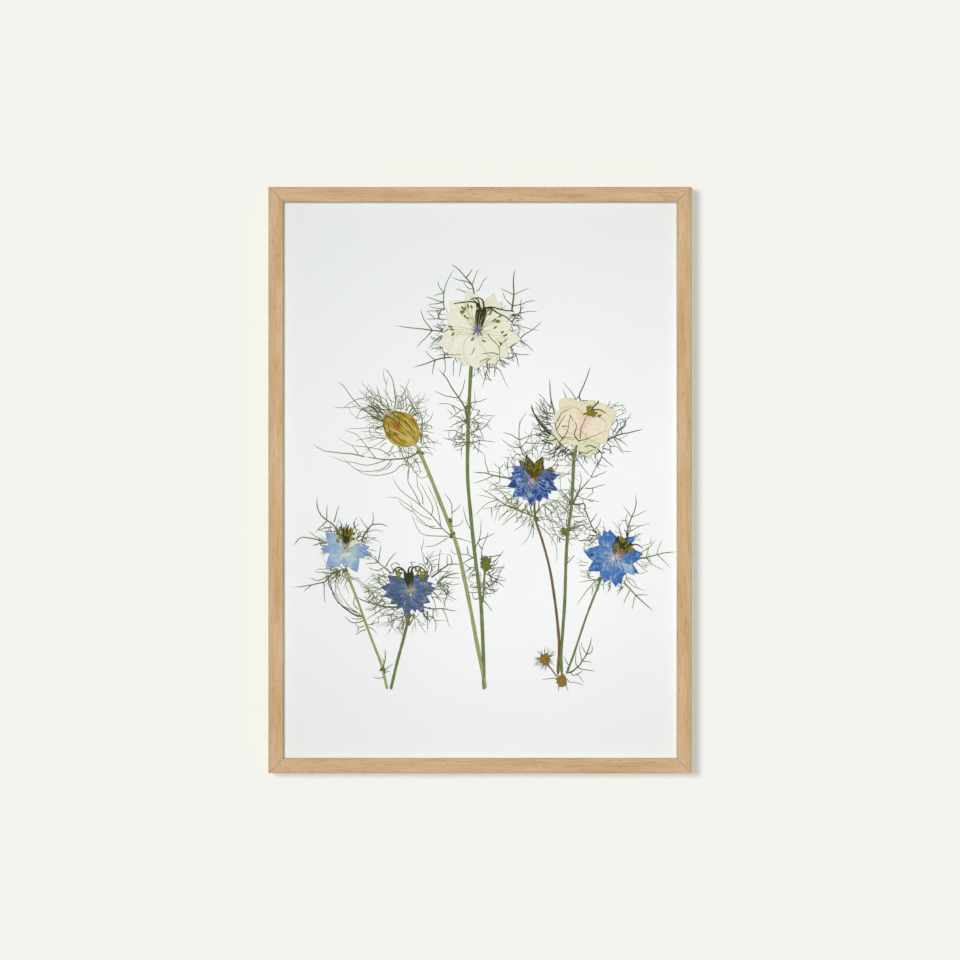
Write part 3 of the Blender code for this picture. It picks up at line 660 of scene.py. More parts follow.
@dataclass
class Card:
    """The mount card's front face, where everything that grew is laid out."""

    low: tuple = field(default_factory=lambda: tuple(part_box("mount_card")[0]))
    high: tuple = field(default_factory=lambda: tuple(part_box("mount_card")[1]))

    def place(self, points: Array) -> Array:
        """Turns card millimetres into metres in the model's frame.

        Args:
            points: (k, 3) of x, up and lift.

        Returns:
            (k, 3) positions.
        """
        x = (self.low[0] + self.high[0]) / 2 + points[:, 0] * MM
        z = (self.low[2] + self.high[2]) / 2 + points[:, 1] * MM
        y = self.low[1] - points[:, 2] * MM
        return np.column_stack([x, y, z])

    def lay(self, name: str, skins: list[Skin], nodes: tuple[str, ...]
            ) -> bpy.types.Object:
        """Joins skins into one piece, which rides on the body and stands for CAD nodes.

        Args:
            name: the piece's name.
            skins: what it is made of, each with its finish.
            nodes: the CAD nodes that it stands for.

        Returns:
            The finished piece.
        """
        offsets = np.cumsum([0] + [len(skin.points) for skin in skins[:-1]])
        points = self.place(np.vstack([skin.points for skin in skins]))
        quads = np.vstack([skin.quads + at for skin, at in zip(skins, offsets)])
        triangles = np.vstack([skin.triangles + at for skin, at in zip(skins, offsets)])
        corners = np.concatenate([quads.ravel(), triangles.ravel()])
        sizes = np.concatenate([np.full(len(quads), 4), np.full(len(triangles), 3)])
        mesh = bpy.data.meshes.new(name)
        mesh.vertices.add(len(points))
        mesh.vertices.foreach_set("co", points.ravel())
        mesh.loops.add(len(corners))
        mesh.loops.foreach_set("vertex_index", corners.astype(np.int32))
        mesh.polygons.add(len(sizes))
        starts = np.concatenate([[0], np.cumsum(sizes)[:-1]]).astype(np.int32)
        mesh.polygons.foreach_set("loop_start", starts)
        mesh.update(calc_edges=True)
        uv = np.vstack([skin.uv for skin in skins])
        layer = mesh.uv_layers.new(name="UVMap")
        layer.uv.foreach_set("vector", uv[corners].ravel())
        tone = mesh.attributes.new("tone", "FLOAT", "POINT")
        tone.data.foreach_set("value", np.concatenate([skin.tone for skin in skins]))
        finishes = list(dict.fromkeys(skin.finish for skin in skins))
        for finish in finishes:
            mesh.materials.append(finish.material())
        number = [finishes.index(skin.finish) for skin in skins]
        slots = np.concatenate([np.repeat(number, [len(skin.quads) for skin in skins]),
                                np.repeat(number, [len(skin.triangles) for skin in skins])])
        mesh.polygons.foreach_set("material_index", slots.astype(np.int32))
        mesh.shade_smooth()
        mesh.validate()
        piece = bpy.data.objects.new(name, mesh)
        bpy.context.scene.collection.objects.link(piece)
        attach(piece, BODY)
        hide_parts(*nodes)
        LOG.info("%s: %d faces", name, len(sizes))
        return piece


# ---- Makers of stems, threads, petals and hearts ----


def routes(text: str) -> list[Array]:
    """Reads listed lines: points as x,y in card millimetres, lines parted by semicolons."""
    lines = [line.split() for line in text.split(";") if line.strip()]
    return [np.array([[float(part) for part in point.split(",")] for point in line])
            for line in lines]


def lifted(flat: Array, lift: Array | float) -> Array:
    """Gives points on the card their lift, one for all or one for each."""
    return np.concatenate([flat, np.broadcast_to(lift, flat.shape[:-1])[..., None]], -1)


def towards(angle: Array) -> Array:
    """Steps of one millimetre on the card, each towards an angle in radians."""
    return np.stack([np.cos(angle), np.sin(angle)], -1)


@dataclass(frozen=True)
class Threads:
    """The forked threads of one leaf or ruff: stout ones, fine ones, and those over petals."""

    stout: str = ""
    fine: str = ""
    over: str = ""
    finish: Finish = Finish.OLIVE_THREAD
    stout_width: float = 0.85
    fine_width: float = 0.5
    root_lift: float = Lift.STEM.value
    slow_waver: float = 0.14
    quick_waver: float = 0.07
    deepest: float = 0.42
    sides: int = 6

    def skins(self, rng: np.random.Generator, rows: int = 22) -> list[Skin]:
        """Sweeps every thread, thick at its root and ending in a fine point.

        The width falls as 1 - 0.55 * u over the thread and closes to a tenth in its last eighth;
        the lift sinks from the root's to the thread's own; two wavers move it sideways.

        Args:
            rng: the random numbers that waver and size the threads.
            rows: rings along each thread.

        Returns:
            The skins of the threads.
        """
        made = []
        share = np.linspace(0, 1, rows)
        for text, width, lift in ((self.stout, self.stout_width, Lift.THREAD.value),
                                  (self.fine, self.fine_width, Lift.THREAD.value),
                                  (self.over, self.fine_width, Lift.OVER.value)):
            lines = routes(text)
            if not lines:
                continue
            flat = np.stack([smooth_path(line, rows) for line in lines])
            count = len(lines)
            along = np.gradient(flat, axis=1)
            along /= np.linalg.norm(along, axis=2, keepdims=True)
            across = np.stack([-along[..., 1], along[..., 0]], -1)
            phase = rng.uniform(0, math.tau, (count, 2, 1))
            waver = (self.slow_waver * np.sin(7 * share + phase[:, 0])
                     + self.quick_waver * np.sin(17 * share + phase[:, 1]))
            flat = flat + across * (waver * np.sin(math.pi * share * 0.5))[..., None]
            root = lift if lift == Lift.OVER.value else self.root_lift
            rise = (lift + (root - lift) * np.exp(-6 * share)
                    + 0.06 * np.sin(11 * share + phase[:, 1]))
            taper = (1 - 0.55 * share) * np.clip((1 - share) * 8, 0.12, 1)
            size = width * rng.uniform(0.85, 1.15, (count, 1)) * taper
            skin = sweep(lifted(flat, rise), size, np.minimum(size * 0.8, self.deepest), self.sides)
            made.append(skin.finished(self.finish))
        return made


@dataclass(frozen=True)
class Tangle:
    """The finest threads of a ruff or leaf: they curl outwards, and each one forks once.

    They start near the inner radius from the centre, within the sector of degrees, and the
    longest end near the outer one.
    """

    centre: Point
    inner: float
    outer: float
    count: int
    sector: tuple[float, float] = (0.0, 360.0)
    finish: Finish = Finish.OLIVE_THREAD
    width: float = 0.32
    curl: float = 0.6
    scatter: float = 0.4
    sides: int = 5

    def skins(self, rng: np.random.Generator, rows: int = 16) -> list[Skin]:
        """Walks every thread outwards while its heading turns, then its fork in the same way.

        The heading at share u is the first heading + curl * u; the place is the sum of the steps.

        Args:
            rng: the random numbers for where threads start, turn and end.
            rows: rings along each thread.

        Returns:
            The threads and their forks.
        """
        share = np.linspace(0, 1, rows)
        every = np.arange(self.count)
        spread = np.radians(rng.uniform(*self.sector, self.count))
        near = self.inner * rng.uniform(0.8, 1.15, (self.count, 1))
        start = np.array(self.centre) + towards(spread) * near
        length = (self.outer - self.inner) * rng.uniform(0.35, 1.0, self.count)
        heading = spread + rng.normal(0, self.scatter, self.count)
        made = []
        for _ in ("thread", "fork"):
            turn = heading[:, None] + rng.normal(0, self.curl, (self.count, 1)) * share
            steps = towards(turn) * (length[:, None] / rows)[..., None]
            flat = start[:, None] + np.cumsum(steps, axis=1) - steps[:, :1]
            unevenness = rng.uniform(-0.08, 0.12, (self.count, 1))
            lift = Lift.THREAD.value + 0.25 * (1 - share) + unevenness
            taper = self.width * (1 - 0.6 * share) * np.clip((1 - share) * 6, 0.15, 1)
            size = np.tile(taper, (self.count, 1))
            made.append(sweep(lifted(flat, lift), size, size * 0.8, self.sides)
                        .finished(self.finish))
            fork = rng.integers(rows // 4, 3 * rows // 4, self.count)
            start = flat[every, fork]
            side = rng.choice((-1.0, 1.0), self.count)
            heading = turn[every, fork] + side * rng.uniform(0.5, 1.0, self.count)
            length = length * rng.uniform(0.35, 0.7, self.count)
        return made


@dataclass(frozen=True)
class Stem:
    """A pressed stem: flattened, ridged along its length, and swollen where leaves leave it."""

    width: float
    route: str
    finish: Finish = Finish.GREEN_STEM
    knots: str = ""
    root_width: float = 1.0
    flatness: float = 0.62
    deepest: float = 0.95
    sides: int = 20
    ridges: tuple[int, float] = (5, 0.07)
    knot_ovals: int = 7
    knot_scatter: float = 0.45

    def skins(self, rng: np.random.Generator, rows: int = 120) -> list[Skin]:
        """Sweeps the stem, and sets a heap of short rough ovals at each knot.

        The width swells and shrinks as two sines along the stem, and halves at its ends. The
        root width is how many times wider than its top the stem is at its root.

        Args:
            rng: the random numbers for its slight unevenness.
            rows: rings along the stem.

        Returns:
            The stem and its knots.
        """
        control = routes(self.route)[0]
        if control.shape[1] == 2:
            control = lifted(control, Lift.STEM.value)
        share = np.linspace(0, 1, rows)
        phase = rng.uniform(0, math.tau, 3)
        uneven = 1 + 0.05 * np.sin(23 * share + phase[0]) + 0.04 * np.sin(61 * share + phase[1])
        ends = np.clip(np.minimum(share, 1 - share) * rows / 1.5, 0.5, 1)
        width = (self.width * (1 + (self.root_width - 1) * share) * uneven * ends)[None]
        depth = np.minimum(width * self.flatness, self.deepest)
        made = [sweep(smooth_path(control, rows)[None], width, depth, self.sides,
                      ridges=self.ridges).finished(self.finish)]
        for knot in routes(self.knots):
            count = self.knot_ovals
            spot = knot[0] + rng.normal(0, self.knot_scatter, (count, 2))
            length = rng.uniform(1.6, 2.8, count)
            made.append(ovals(lifted(spot, Lift.STEM.value + 0.25), rng.uniform(0, 180, count),
                              length, length * 0.45, np.full(count, 0.5))
                        .finished(Finish.OLIVE_THREAD))
        return made


@dataclass(frozen=True)
class Petal:
    """One petal: where it ends, how wide it is, its tone, and its finish if not the flower's."""

    tip: Point
    width: float
    tone: float = 0.0
    finish: Finish | None = None


@dataclass(frozen=True)
class Whorl:
    """A flower's petals, laid one over another round its centre.

    claw is the width at the start as a share of the widest, widest how far along that lies,
    shoulder how bluntly the blade closes, and step the lift from one petal to the next.
    """

    centre: Point
    finish: Finish
    petals: tuple[Petal, ...]
    claw: float = 0.22
    widest: float = 0.58
    shoulder: float = 1.7
    start: float = 0.2
    ragged: float = 0.07
    thickness: float = 0.02
    step: float = 0.085

    def skins(self, rng: np.random.Generator, rows: int = 36, sides: int = 32) -> list[Skin]:
        """Sweeps each petal from its claw to its pointed tip.

        The width grows from the claw as 1 - (1 - u / widest) ^ 2, and beyond the widest place
        falls as 1 - v ^ shoulder, where v runs to 1 at the tip. Both edges wander a little on
        their own, each as three sines. Folds rise with the cosine across, and grow towards the
        tip.

        Args:
            rng: the random numbers of its folds, edges and bends.
            rows: rings along each petal.
            sides: corners of each ring.

        Returns:
            The skins of the petals.
        """
        made = []
        share = np.linspace(0, 1, rows)
        down = share[:, None]
        across = np.cos(math.tau * np.arange(sides) / sides)[None]
        grow = self.claw + (1 - self.claw) * (1 - (1 - np.clip(share / self.widest, 0, 1)) ** 2)
        fall = 1 - np.clip((share - self.widest) / (1 - self.widest), 0, 0.995) ** self.shoulder
        middle = np.array(self.centre)
        for order, petal in enumerate(self.petals):
            reach = np.array(petal.tip) - middle
            length = np.linalg.norm(reach)
            along = reach / length
            sideways = np.array([-along[1], along[0]])
            bend = rng.uniform(-0.06, 0.06) * length
            phase = rng.uniform(0, math.tau, 8)
            half = petal.width / 2 * grow * fall
            left, right = (half * (1 + self.ragged * (
                np.sin(9 * share + phase[i]) + 0.6 * np.sin(21 * share + phase[i + 2])
                + 0.5 * np.sin(43 * share + phase[i + 4]))) for i in (0, 1))
            shift = bend * np.sin(math.pi * share) + (left - right) / 2
            flat = (middle + along * self.start + along * (length - self.start) * down
                    + sideways * shift[:, None])
            lift = Lift.PETAL.value + self.step * order - 0.25 * (1 - share)
            fold = (0.012 * np.sin(5.0 * across + phase[6]) * down
                    + 0.006 * np.sin(13 * across + phase[7] + 4 * down)
                    + 0.006 * np.sin(12 * down + phase[5]) * across ** 2)
            skin = sweep(lifted(flat, lift)[None], (left + right)[None],
                         np.full((1, rows), self.thickness), sides, ripple=fold[None],
                         tone=petal.tone, by_length=False, heading=np.array([[*along, 0.0]]))
            made.append(skin.finished(petal.finish or self.finish))
        return made


@dataclass(frozen=True)
class Pistil:
    """A flower's heart: ribbed ovaries, curling styles, anthers on fine filaments, and hairs.

    Each ovary is given as the x and y of its two ends, and its width.
    """

    root: Point
    ovaries: tuple[tuple[float, float, float, float, float], ...] = ()
    styles: str = ""
    anthers: str = ""
    filaments: bool = True
    hairs: int = 0
    hair_length: float = 3.0
    ovary_finish: Finish = Finish.STYLE
    anther_finish: Finish = Finish.ANTHER
    hair_finish: Finish = Finish.FILAMENT
    style_width: float = 0.75
    filament_width: float = 0.18
    hair_width: float = 0.34
    rows: int = 24

    def skins(self, rng: np.random.Generator) -> list[Skin]:
        """Makes the parts that this heart has.

        Args:
            rng: the random numbers for its stamens and hairs.

        Returns:
            The skins of its ovaries, styles, stamens and hairs.
        """
        share = np.linspace(0, 1, self.rows)
        made = []
        if self.ovaries:
            made.append(self.swollen(share))
        if self.styles:
            made.append(self.curled(share))
        if self.anthers:
            made += self.stamens(rng, share)
        if self.hairs:
            made.append(self.fringe(rng, share))
        return made

    def swollen(self, share: Array) -> Skin:
        """Sweeps each ovary between its two ends; it swells as sin(pi * u ^ 1.6) ^ 0.8.

        Args:
            share: how far along each ovary its rings are.

        Returns:
            The skin of the ovaries.
        """
        ends = np.array(self.ovaries)
        flat = ends[:, None, :2] + (ends[:, 2:4] - ends[:, :2])[:, None] * share[:, None]
        swell = 0.2 + 0.8 * np.sin(math.pi * np.clip(share, 0.02, 0.985) ** 1.6) ** 0.8
        width = ends[:, 4:5] * swell
        return sweep(lifted(flat, Lift.PISTIL.value - 0.25), width, np.minimum(width * 0.5, 0.9),
                     24, ridges=(6, 0.1)).finished(self.ovary_finish)

    def curled(self, share: Array) -> Skin:
        """Sweeps the styles along their lines, each narrowing to half its width.

        Args:
            share: how far along each style its rings are.

        Returns:
            The skin of the styles.
        """
        flat = np.stack([smooth_path(line, self.rows) for line in routes(self.styles)])
        lift = Lift.PISTIL.value + 0.1 + 0.1 * np.sin(5 * share)
        width = np.tile(self.style_width * (1 - 0.5 * share), (len(flat), 1))
        return sweep(lifted(flat, lift), width, width * 0.7, 8).finished(self.ovary_finish)

    def stamens(self, rng: np.random.Generator, share: Array) -> list[Skin]:
        """Lays an oval for each anther, and bows a filament out to it from the root.

        Args:
            rng: the random numbers for how anthers turn and filaments bow.
            share: how far along each filament its rings are.

        Returns:
            The anthers, and their filaments if they show.
        """
        spots = np.vstack(routes(self.anthers))
        count = len(spots)
        outward = np.degrees(np.arctan2(spots[:, 1] - self.root[1], spots[:, 0] - self.root[0]))
        made = [ovals(lifted(spots, Lift.PISTIL.value + 0.15),
                      outward + rng.uniform(-50, 50, count), rng.uniform(2.0, 2.9, count),
                      rng.uniform(0.85, 1.15, count), np.full(count, 0.6))
                .finished(self.anther_finish)]
        if self.filaments:
            bow = rng.normal(0, 0.8, (count, 1, 2)) * np.sin(math.pi * share)[:, None]
            root = np.array(self.root)
            flat = root + (spots - root)[:, None] * share[:, None] + bow
            width = np.full((count, self.rows), self.filament_width)
            made.append(sweep(lifted(flat, Lift.PISTIL.value + 0.02), width, width, 5)
                        .finished(Finish.FINE_FILAMENT))
        return made

    def fringe(self, rng: np.random.Generator, share: Array) -> Skin:
        """Fans straight hairs out of the root, each narrowing to a fifth of its width.

        Args:
            rng: the random numbers for where the hairs point and how long they are.
            share: how far along each hair its rings are.

        Returns:
            The skin of the hairs.
        """
        turn = rng.uniform(0, math.tau, self.hairs)
        reach = self.hair_length * rng.uniform(0.5, 1.1, self.hairs)
        ends = towards(turn) * reach[:, None]
        flat = np.array(self.root) + ends[:, None] * (0.1 + 0.9 * share[:, None])
        width = np.tile(self.hair_width * (1 - 0.8 * share), (self.hairs, 1))
        return sweep(lifted(flat, Lift.PISTIL.value + 0.05), width, width * 0.7,
                     5).finished(self.hair_finish)


@dataclass(frozen=True)
class SeedPod:
    """The ripe capsule: a pressed ovoid of swollen chambers, with a pale rib down its front."""

    base: Point = (-33.9, 19.6)
    apex: Point = (-50.6, 35.2)
    width: float = 17.6
    depth: float = 1.9
    lift: float = 1.55
    ribs: int = 9
    rib_line: str = "-49.2,27.8 -46,26.4 -42,24.6 -38.5,21.8 -35.5,19.2 -33,16.8"
    rib_width: float = 0.8
    rib_depth: float = 0.35
    rows: int = 64
    rib_rows: int = 40
    sides: int = 144

    def skins(self, rng: np.random.Generator) -> list[Skin]:
        """Sweeps the ovoid, which swells as sin(pi * u) ^ 0.62, and lays the rib over it.

        Args:
            rng: not drawn from, since there is only one pod.

        Returns:
            The pod and its rib.
        """
        share = np.linspace(0.004, 0.996, self.rows)
        base, apex = np.array(self.base), np.array(self.apex)
        path = lifted(base + (apex - base) * share[:, None], self.lift)[None]
        swell = np.sin(math.pi * share ** 0.95) ** 0.62
        pod = sweep(path, (self.width * swell)[None], (self.depth * swell)[None], self.sides,
                    ridges=(2 * self.ribs, 0.018), by_length=False)
        line = smooth_path(routes(self.rib_line)[0], self.rib_rows)
        taper = np.sin(math.pi * np.linspace(0.08, 0.97, self.rib_rows)) ** 0.4
        rib = sweep(lifted(line, self.lift + self.depth / 2 - 0.06)[None],
                    (self.rib_width * taper)[None], (self.rib_depth * taper)[None], 10)
        return [pod.finished(Finish.POD), rib.finished(Finish.RIB)]


@dataclass(frozen=True)
class Knob:
    """A heap of small pressed scales inside an oval, with fuzz round it if it has any.

    It makes a bud or the crown at a plant's base, and also small blotches and knots.
    """

    centre: Point
    half: Point
    scales: int
    fuzz: int
    fuzz_length: float
    lift: float
    scale_finish: Finish = Finish.BUD
    fuzz_finish: Finish = Finish.OLIVE_THREAD
    upward: bool = False
    fuzz_width: float = 0.42
    fuzz_rows: int = 12

    def skins(self, rng: np.random.Generator) -> list[Skin]:
        """Lays the scales inside the oval, highest in its middle.

        Args:
            rng: the random numbers for where the scales lie and how big they are.

        Returns:
            The scales, and the fuzz if there is any.
        """
        turn = rng.uniform(0, math.tau, self.scales)
        out = np.sqrt(rng.uniform(0, 0.75, self.scales))
        spot = np.array(self.centre) + towards(turn) * out[:, None] * np.array(self.half)
        size = rng.uniform(0.5, 0.9, self.scales) * min(self.half)
        lift = self.lift + 0.35 * (1 - out) + rng.uniform(-0.08, 0.08, self.scales)
        made = [ovals(lifted(spot, lift), np.degrees(turn), size * 1.7, size * 0.8,
                      np.full(self.scales, 0.55)).finished(self.scale_finish)]
        if self.fuzz:
            made.append(self.fuzzed(rng))
        return made

    def fuzzed(self, rng: np.random.Generator) -> Skin:
        """Sweeps fine threads that leave the oval's middle and curl aside as u squared.

        Args:
            rng: the random numbers for where the threads point, curl and end.

        Returns:
            The skin of the fuzz.
        """
        share = np.linspace(0, 1, self.fuzz_rows)[:, None]
        spread = (rng.uniform(0.15, 0.85, self.fuzz) * math.pi if self.upward
                  else rng.uniform(0, math.tau, self.fuzz))
        way = towards(spread)
        curl = np.stack([-way[:, 1], way[:, 0]], -1) * rng.normal(0, 0.25, (self.fuzz, 1))
        reach = self.fuzz_length * rng.uniform(0.6, 1.15, (self.fuzz, 1, 1))
        begin = np.array(self.centre) + way * np.array(self.half) * 0.4
        flat = begin[:, None] + reach * (way[:, None] * share + curl[:, None] * share ** 2)
        width = np.tile(self.fuzz_width * (1 - 0.75 * share[:, 0]), (self.fuzz, 1))
        return sweep(lifted(flat, self.lift - 0.05 + 0.1 * share[:, 0]), width, width * 0.7,
                     5).finished(self.fuzz_finish)


# ---- The plants on the card ----


@dataclass(frozen=True)
class Part:
    """One piece of a plant: its name (also the CAD node it stands for), slot and makers."""

    name: str
    slot: str
    makers: tuple


WHITE = (
    Part("white_stem", "stem_green", (
        Stem(1.8, "-3,68 -4.9,58 -6.3,25 -6.6,2 -4.8,-20 -2.7,-40 0.3,-64 1.2,-78 1.7,-90 2.1,-101 1.9,-112",
                  knots="-6,39.5; -6.8,31.5; -6.5,19.5"),)),
    Part("white_petals", "white_petal", (Whorl((-1.5, 79.5), Finish.WHITE_PETAL, (
        Petal((-17, 96), 11), Petal((-7, 102), 9, 0.5), Petal((7.5, 100), 9, 0.5), Petal((-23, 72), 10),
        Petal((-9, 61), 12, 0.2), Petal((-2.5, 100), 9), Petal((12, 95.5), 10, 0.3), Petal((22, 75), 11),
        Petal((8, 61.5), 11, 0.3), Petal((-20, 80), 12), Petal((16.5, 89), 11), Petal((-17, 66), 13),
        Petal((-2, 59), 14), Petal((15, 65.5), 12, 0.2), Petal((-19, 89), 12), Petal((17, 82.5), 11)),
        claw=0.4, ragged=0.09),)),
    Part("white_bracts", "leaf_thread", (Threads(
        "-17,79.3 -25.5,80 -45,82.5; -9.5,66 -14,65.7 -19,65.3 -24,64 -30,62 -36,60.3;"
        "-3,97 -3.2,100.5 -4.3,104.3 -7.5,108 -12,113 -16,116; 17,90 17.3,93 18,99 17.8,105 18.7,113",
        "-25.5,80 -30,86 -32,91.5; -25.5,80 -30,75 -34,71; -20.5,77.5 -28,70; -20,80 -23,84;"
        "-19,91 -19.5,95 -19.2,100 -18,105 -15.5,110.5 -13.5,112.5; -19.5,95 -23,96 -29,98;"
        "-19.5,95 -25,94 -28,93.5; -19.3,100 -21.5,103 -23,106.5; -19.3,100 -25,98.5;"
        "-19,91.3 -24,92 -27.5,93; -19.5,91 -29,90; -20,86 -23.5,86.2 -29,86; -24,86 -28,90;"
        "-21,90.5 -22.5,87 -20.5,85.5; -23.5,90.7 -22,88 -21.5,85.8; -4.3,104.3 -2.5,109 -0.5,113;"
        "-7.5,108 -5,111.5 -3.8,113; -4.3,104.3 -7,106 -11,107 -15,108; -3.5,102 -7,103 -9,107;"
        "-5,99.5 -8,100.5 -13.5,102.5; -2,101 -0.5,102 2,106.5 4,109; 18,99 14,101 10.5,103;"
        "18,99 22,101 26.5,102.5; 17.3,93 13.5,97 12,100.5; 17.3,93 22,94 26,95.5 30,95.7;"
        "17,88.5 20.5,89 23.5,93.5; 20.5,89 25,90 31,90; 20,89 23,86; 17.5,82.5 20,82.5 26,81 32,80;"
        "20.8,82 20.8,77; 21.5,89 22,97; 17,84 18.5,87 17.5,90; 18,88 20.5,86 20,83;"
        "16,83 17.5,81 17.8,79.5; 19,85 22,85.5; 21,75 24,78 29,81 33.3,85; 21,75 24,73 29,68.5;"
        "22,74 25,71.5; 16.5,71 18.5,72.5 20.5,73; 17,70 19,67.5 27,67; 19,67.5 21,60; 14,65 18.5,66 19,67;"
        "13.5,67.5 16,68; 17,72 16.5,69 18.5,66; 10,64 8.5,61 11,58 13,53 15.5,49;"
        "3.5,64 4,60 3,57 3,55 1,49.5; 3.3,57 6,52.5; 5,60 8,60.5; 8,60 7.5,55; 0,62 -2,58;"
        "0,63 3,64.5 5.5,64.5; 5.5,65.5 7,64 9,64.5; 5,64 4.5,58 1.5,56; 2,61 5,59 5,56;"
        "10,64 13,63.5 16,61; 12,64 14,62 16,63; 11,62 13.5,60; -24,64 -28,67.5 -29.5,69.5;"
        "-24,64 -25,60 -25.8,56; -19,65.5 -18.5,60 -20,55; -14,64 -14.5,55; -10,63 -11,55;"
        "-19.5,68 -21,71 -27,69.5; -19,65 -19,68 -17,67.5; -13.5,65.5 -12,62.5; -21,71 -22.5,72.5 -20,73;"
        "-9.7,67 -9.5,64.5 -8.7,62.5",
        "4,78 6.5,75 10,71 10.2,64; 10,71 12,73 15,76; 10,67 6,68 0.5,67.5; -18,67 -13,67 -9.5,67;"
        "-19,79.5 -17,80.5 -15.5,80; -3,70.5 -4,68 -5.5,67; 4,65 1.5,64 -0.5,62.5; 5.5,65 3.5,63 3.5,60"),
        Tangle((-1.5, 80), 17.5, 28, 20, (-50, 45), Finish.DARK_THREAD),
        Tangle((-1.5, 79), 17.5, 28, 20, (150, 235), Finish.DARK_THREAD),
        Tangle((1, 80), 17, 28, 13, (255, 315), Finish.DARK_THREAD))),
    Part("white_pistil", "pistil", (
        Pistil((-1.5, 79.8), ((-2.2, 80.4, -1.5, 91.6, 1.6), (-0.9, 80, 0.3, 92.4, 2.3),
                              (0.4, 80.4, 2.5, 92.6, 3.0), (-1.6, 80, -0.6, 92, 1.3)),
               "-0.5,92 -1.6,94.6 -5,95.3 -9,95 -14,94.3; 0,92 -1,96 -3,97.3 -5.3,96.3;"
               "2,92 1.5,96 -1,97.4 -3,97; 2,91.6 6,92.4 12,91 18,90.2; 3,92 6,91.6 9,89.5 14,87 17.5,84;"
               "-1.5,92 -2.2,95 -4,96.5",
               "-9,90; -8,91.5; -6.5,93; -10,89.5; -8,87.5; -6.5,86.5; -16,82; -15,80.5; -14.5,78; 4.5,91;"
               "5.5,89; 6,90.5; 9,85; 10,84.6; 10.6,87.5; 8.2,81.5; 12,79; 13.5,77.4; 11,73; 0.5,78;"
               "-4,75.3; 2,74.3; -4.6,92.6; 7.6,85.4; -9.3,92", hairs=54, hair_length=3.6,
               style_width=0.85),
        Threads(over="-2.4,81 -3.2,85 -4.5,89; -1.9,81 -2,86 -1.4,90; 0,81 0.8,86 3.4,89.5;"
                "1,80.6 3,84 5.5,86.6; -0.8,81 -0.6,85.5 0.4,90.5", finish=Finish.FINE_FILAMENT,
                fine_width=0.34))),
    Part("white_leaves", "leaf_thread", (Threads(
        "-7,32 -8,38.5 -11,43.5 -15,49 -18.5,55 -22.5,60; -7,32 -5.8,39.5",
        "-5.8,39.5 -4,41.5 0,42 4,44; -5,40 -4,38 -1,37.5 0,36.5 -1.5,34.5; -11,44.5 -10,47 -8.5,51 -8,55;"
        "-11,44 -13,44 -18,45 -24.5,47.5; -8.5,37.5 -10,37.5 -15,40 -17,40.5 -23,41; -15,40 -12,35;"
        "-10,37.5 -13,35 -17,32.5; -7,30 -9.5,32 -11.5,34 -14,33.5; -9.5,31.5 -13,30 -16.5,28;"
        "-7,23.5 -9,24.5 -12,25.5 -14,26.5 -20,26.3; -12.3,25.3 -14.5,21.5; -9,24.3 -11,22;"
        "-7,20 -12,20 -14,21 -20,22.5; -12.5,20 -14,16.5; -7,19 -9,18.5 -10,17 -13.5,15; -10,17 -10,12;"
        "-9.7,30 -9.7,23; -5,32.3 -3.5,33 -1.5,34.7 3,34.3 8,34.5; -1.5,34.7 -0.5,38;"
        "-3.5,33 -1,30 -0.3,27 3,29 6,33 8,34.5; -5,25.5 -3.5,25.7 -0.2,27 1,24.5 2.5,21.5;"
        "-5,24.5 -2.5,24 2,21.5; -2.5,24 -4,21.5; -2,26.8 -0.7,30.5; -5,20 -2,20.5 -0.3,21.3 3,21 8.5,20;"
        "-0.3,21.3 0,18.5; -5,18.5 -3.5,19.5 -2.5,17.5 2,14; -2.5,18 -4,16"),
        Tangle((-6.5, 31), 2, 15, 16), Tangle((-6.3, 22), 2, 14, 18))),
)

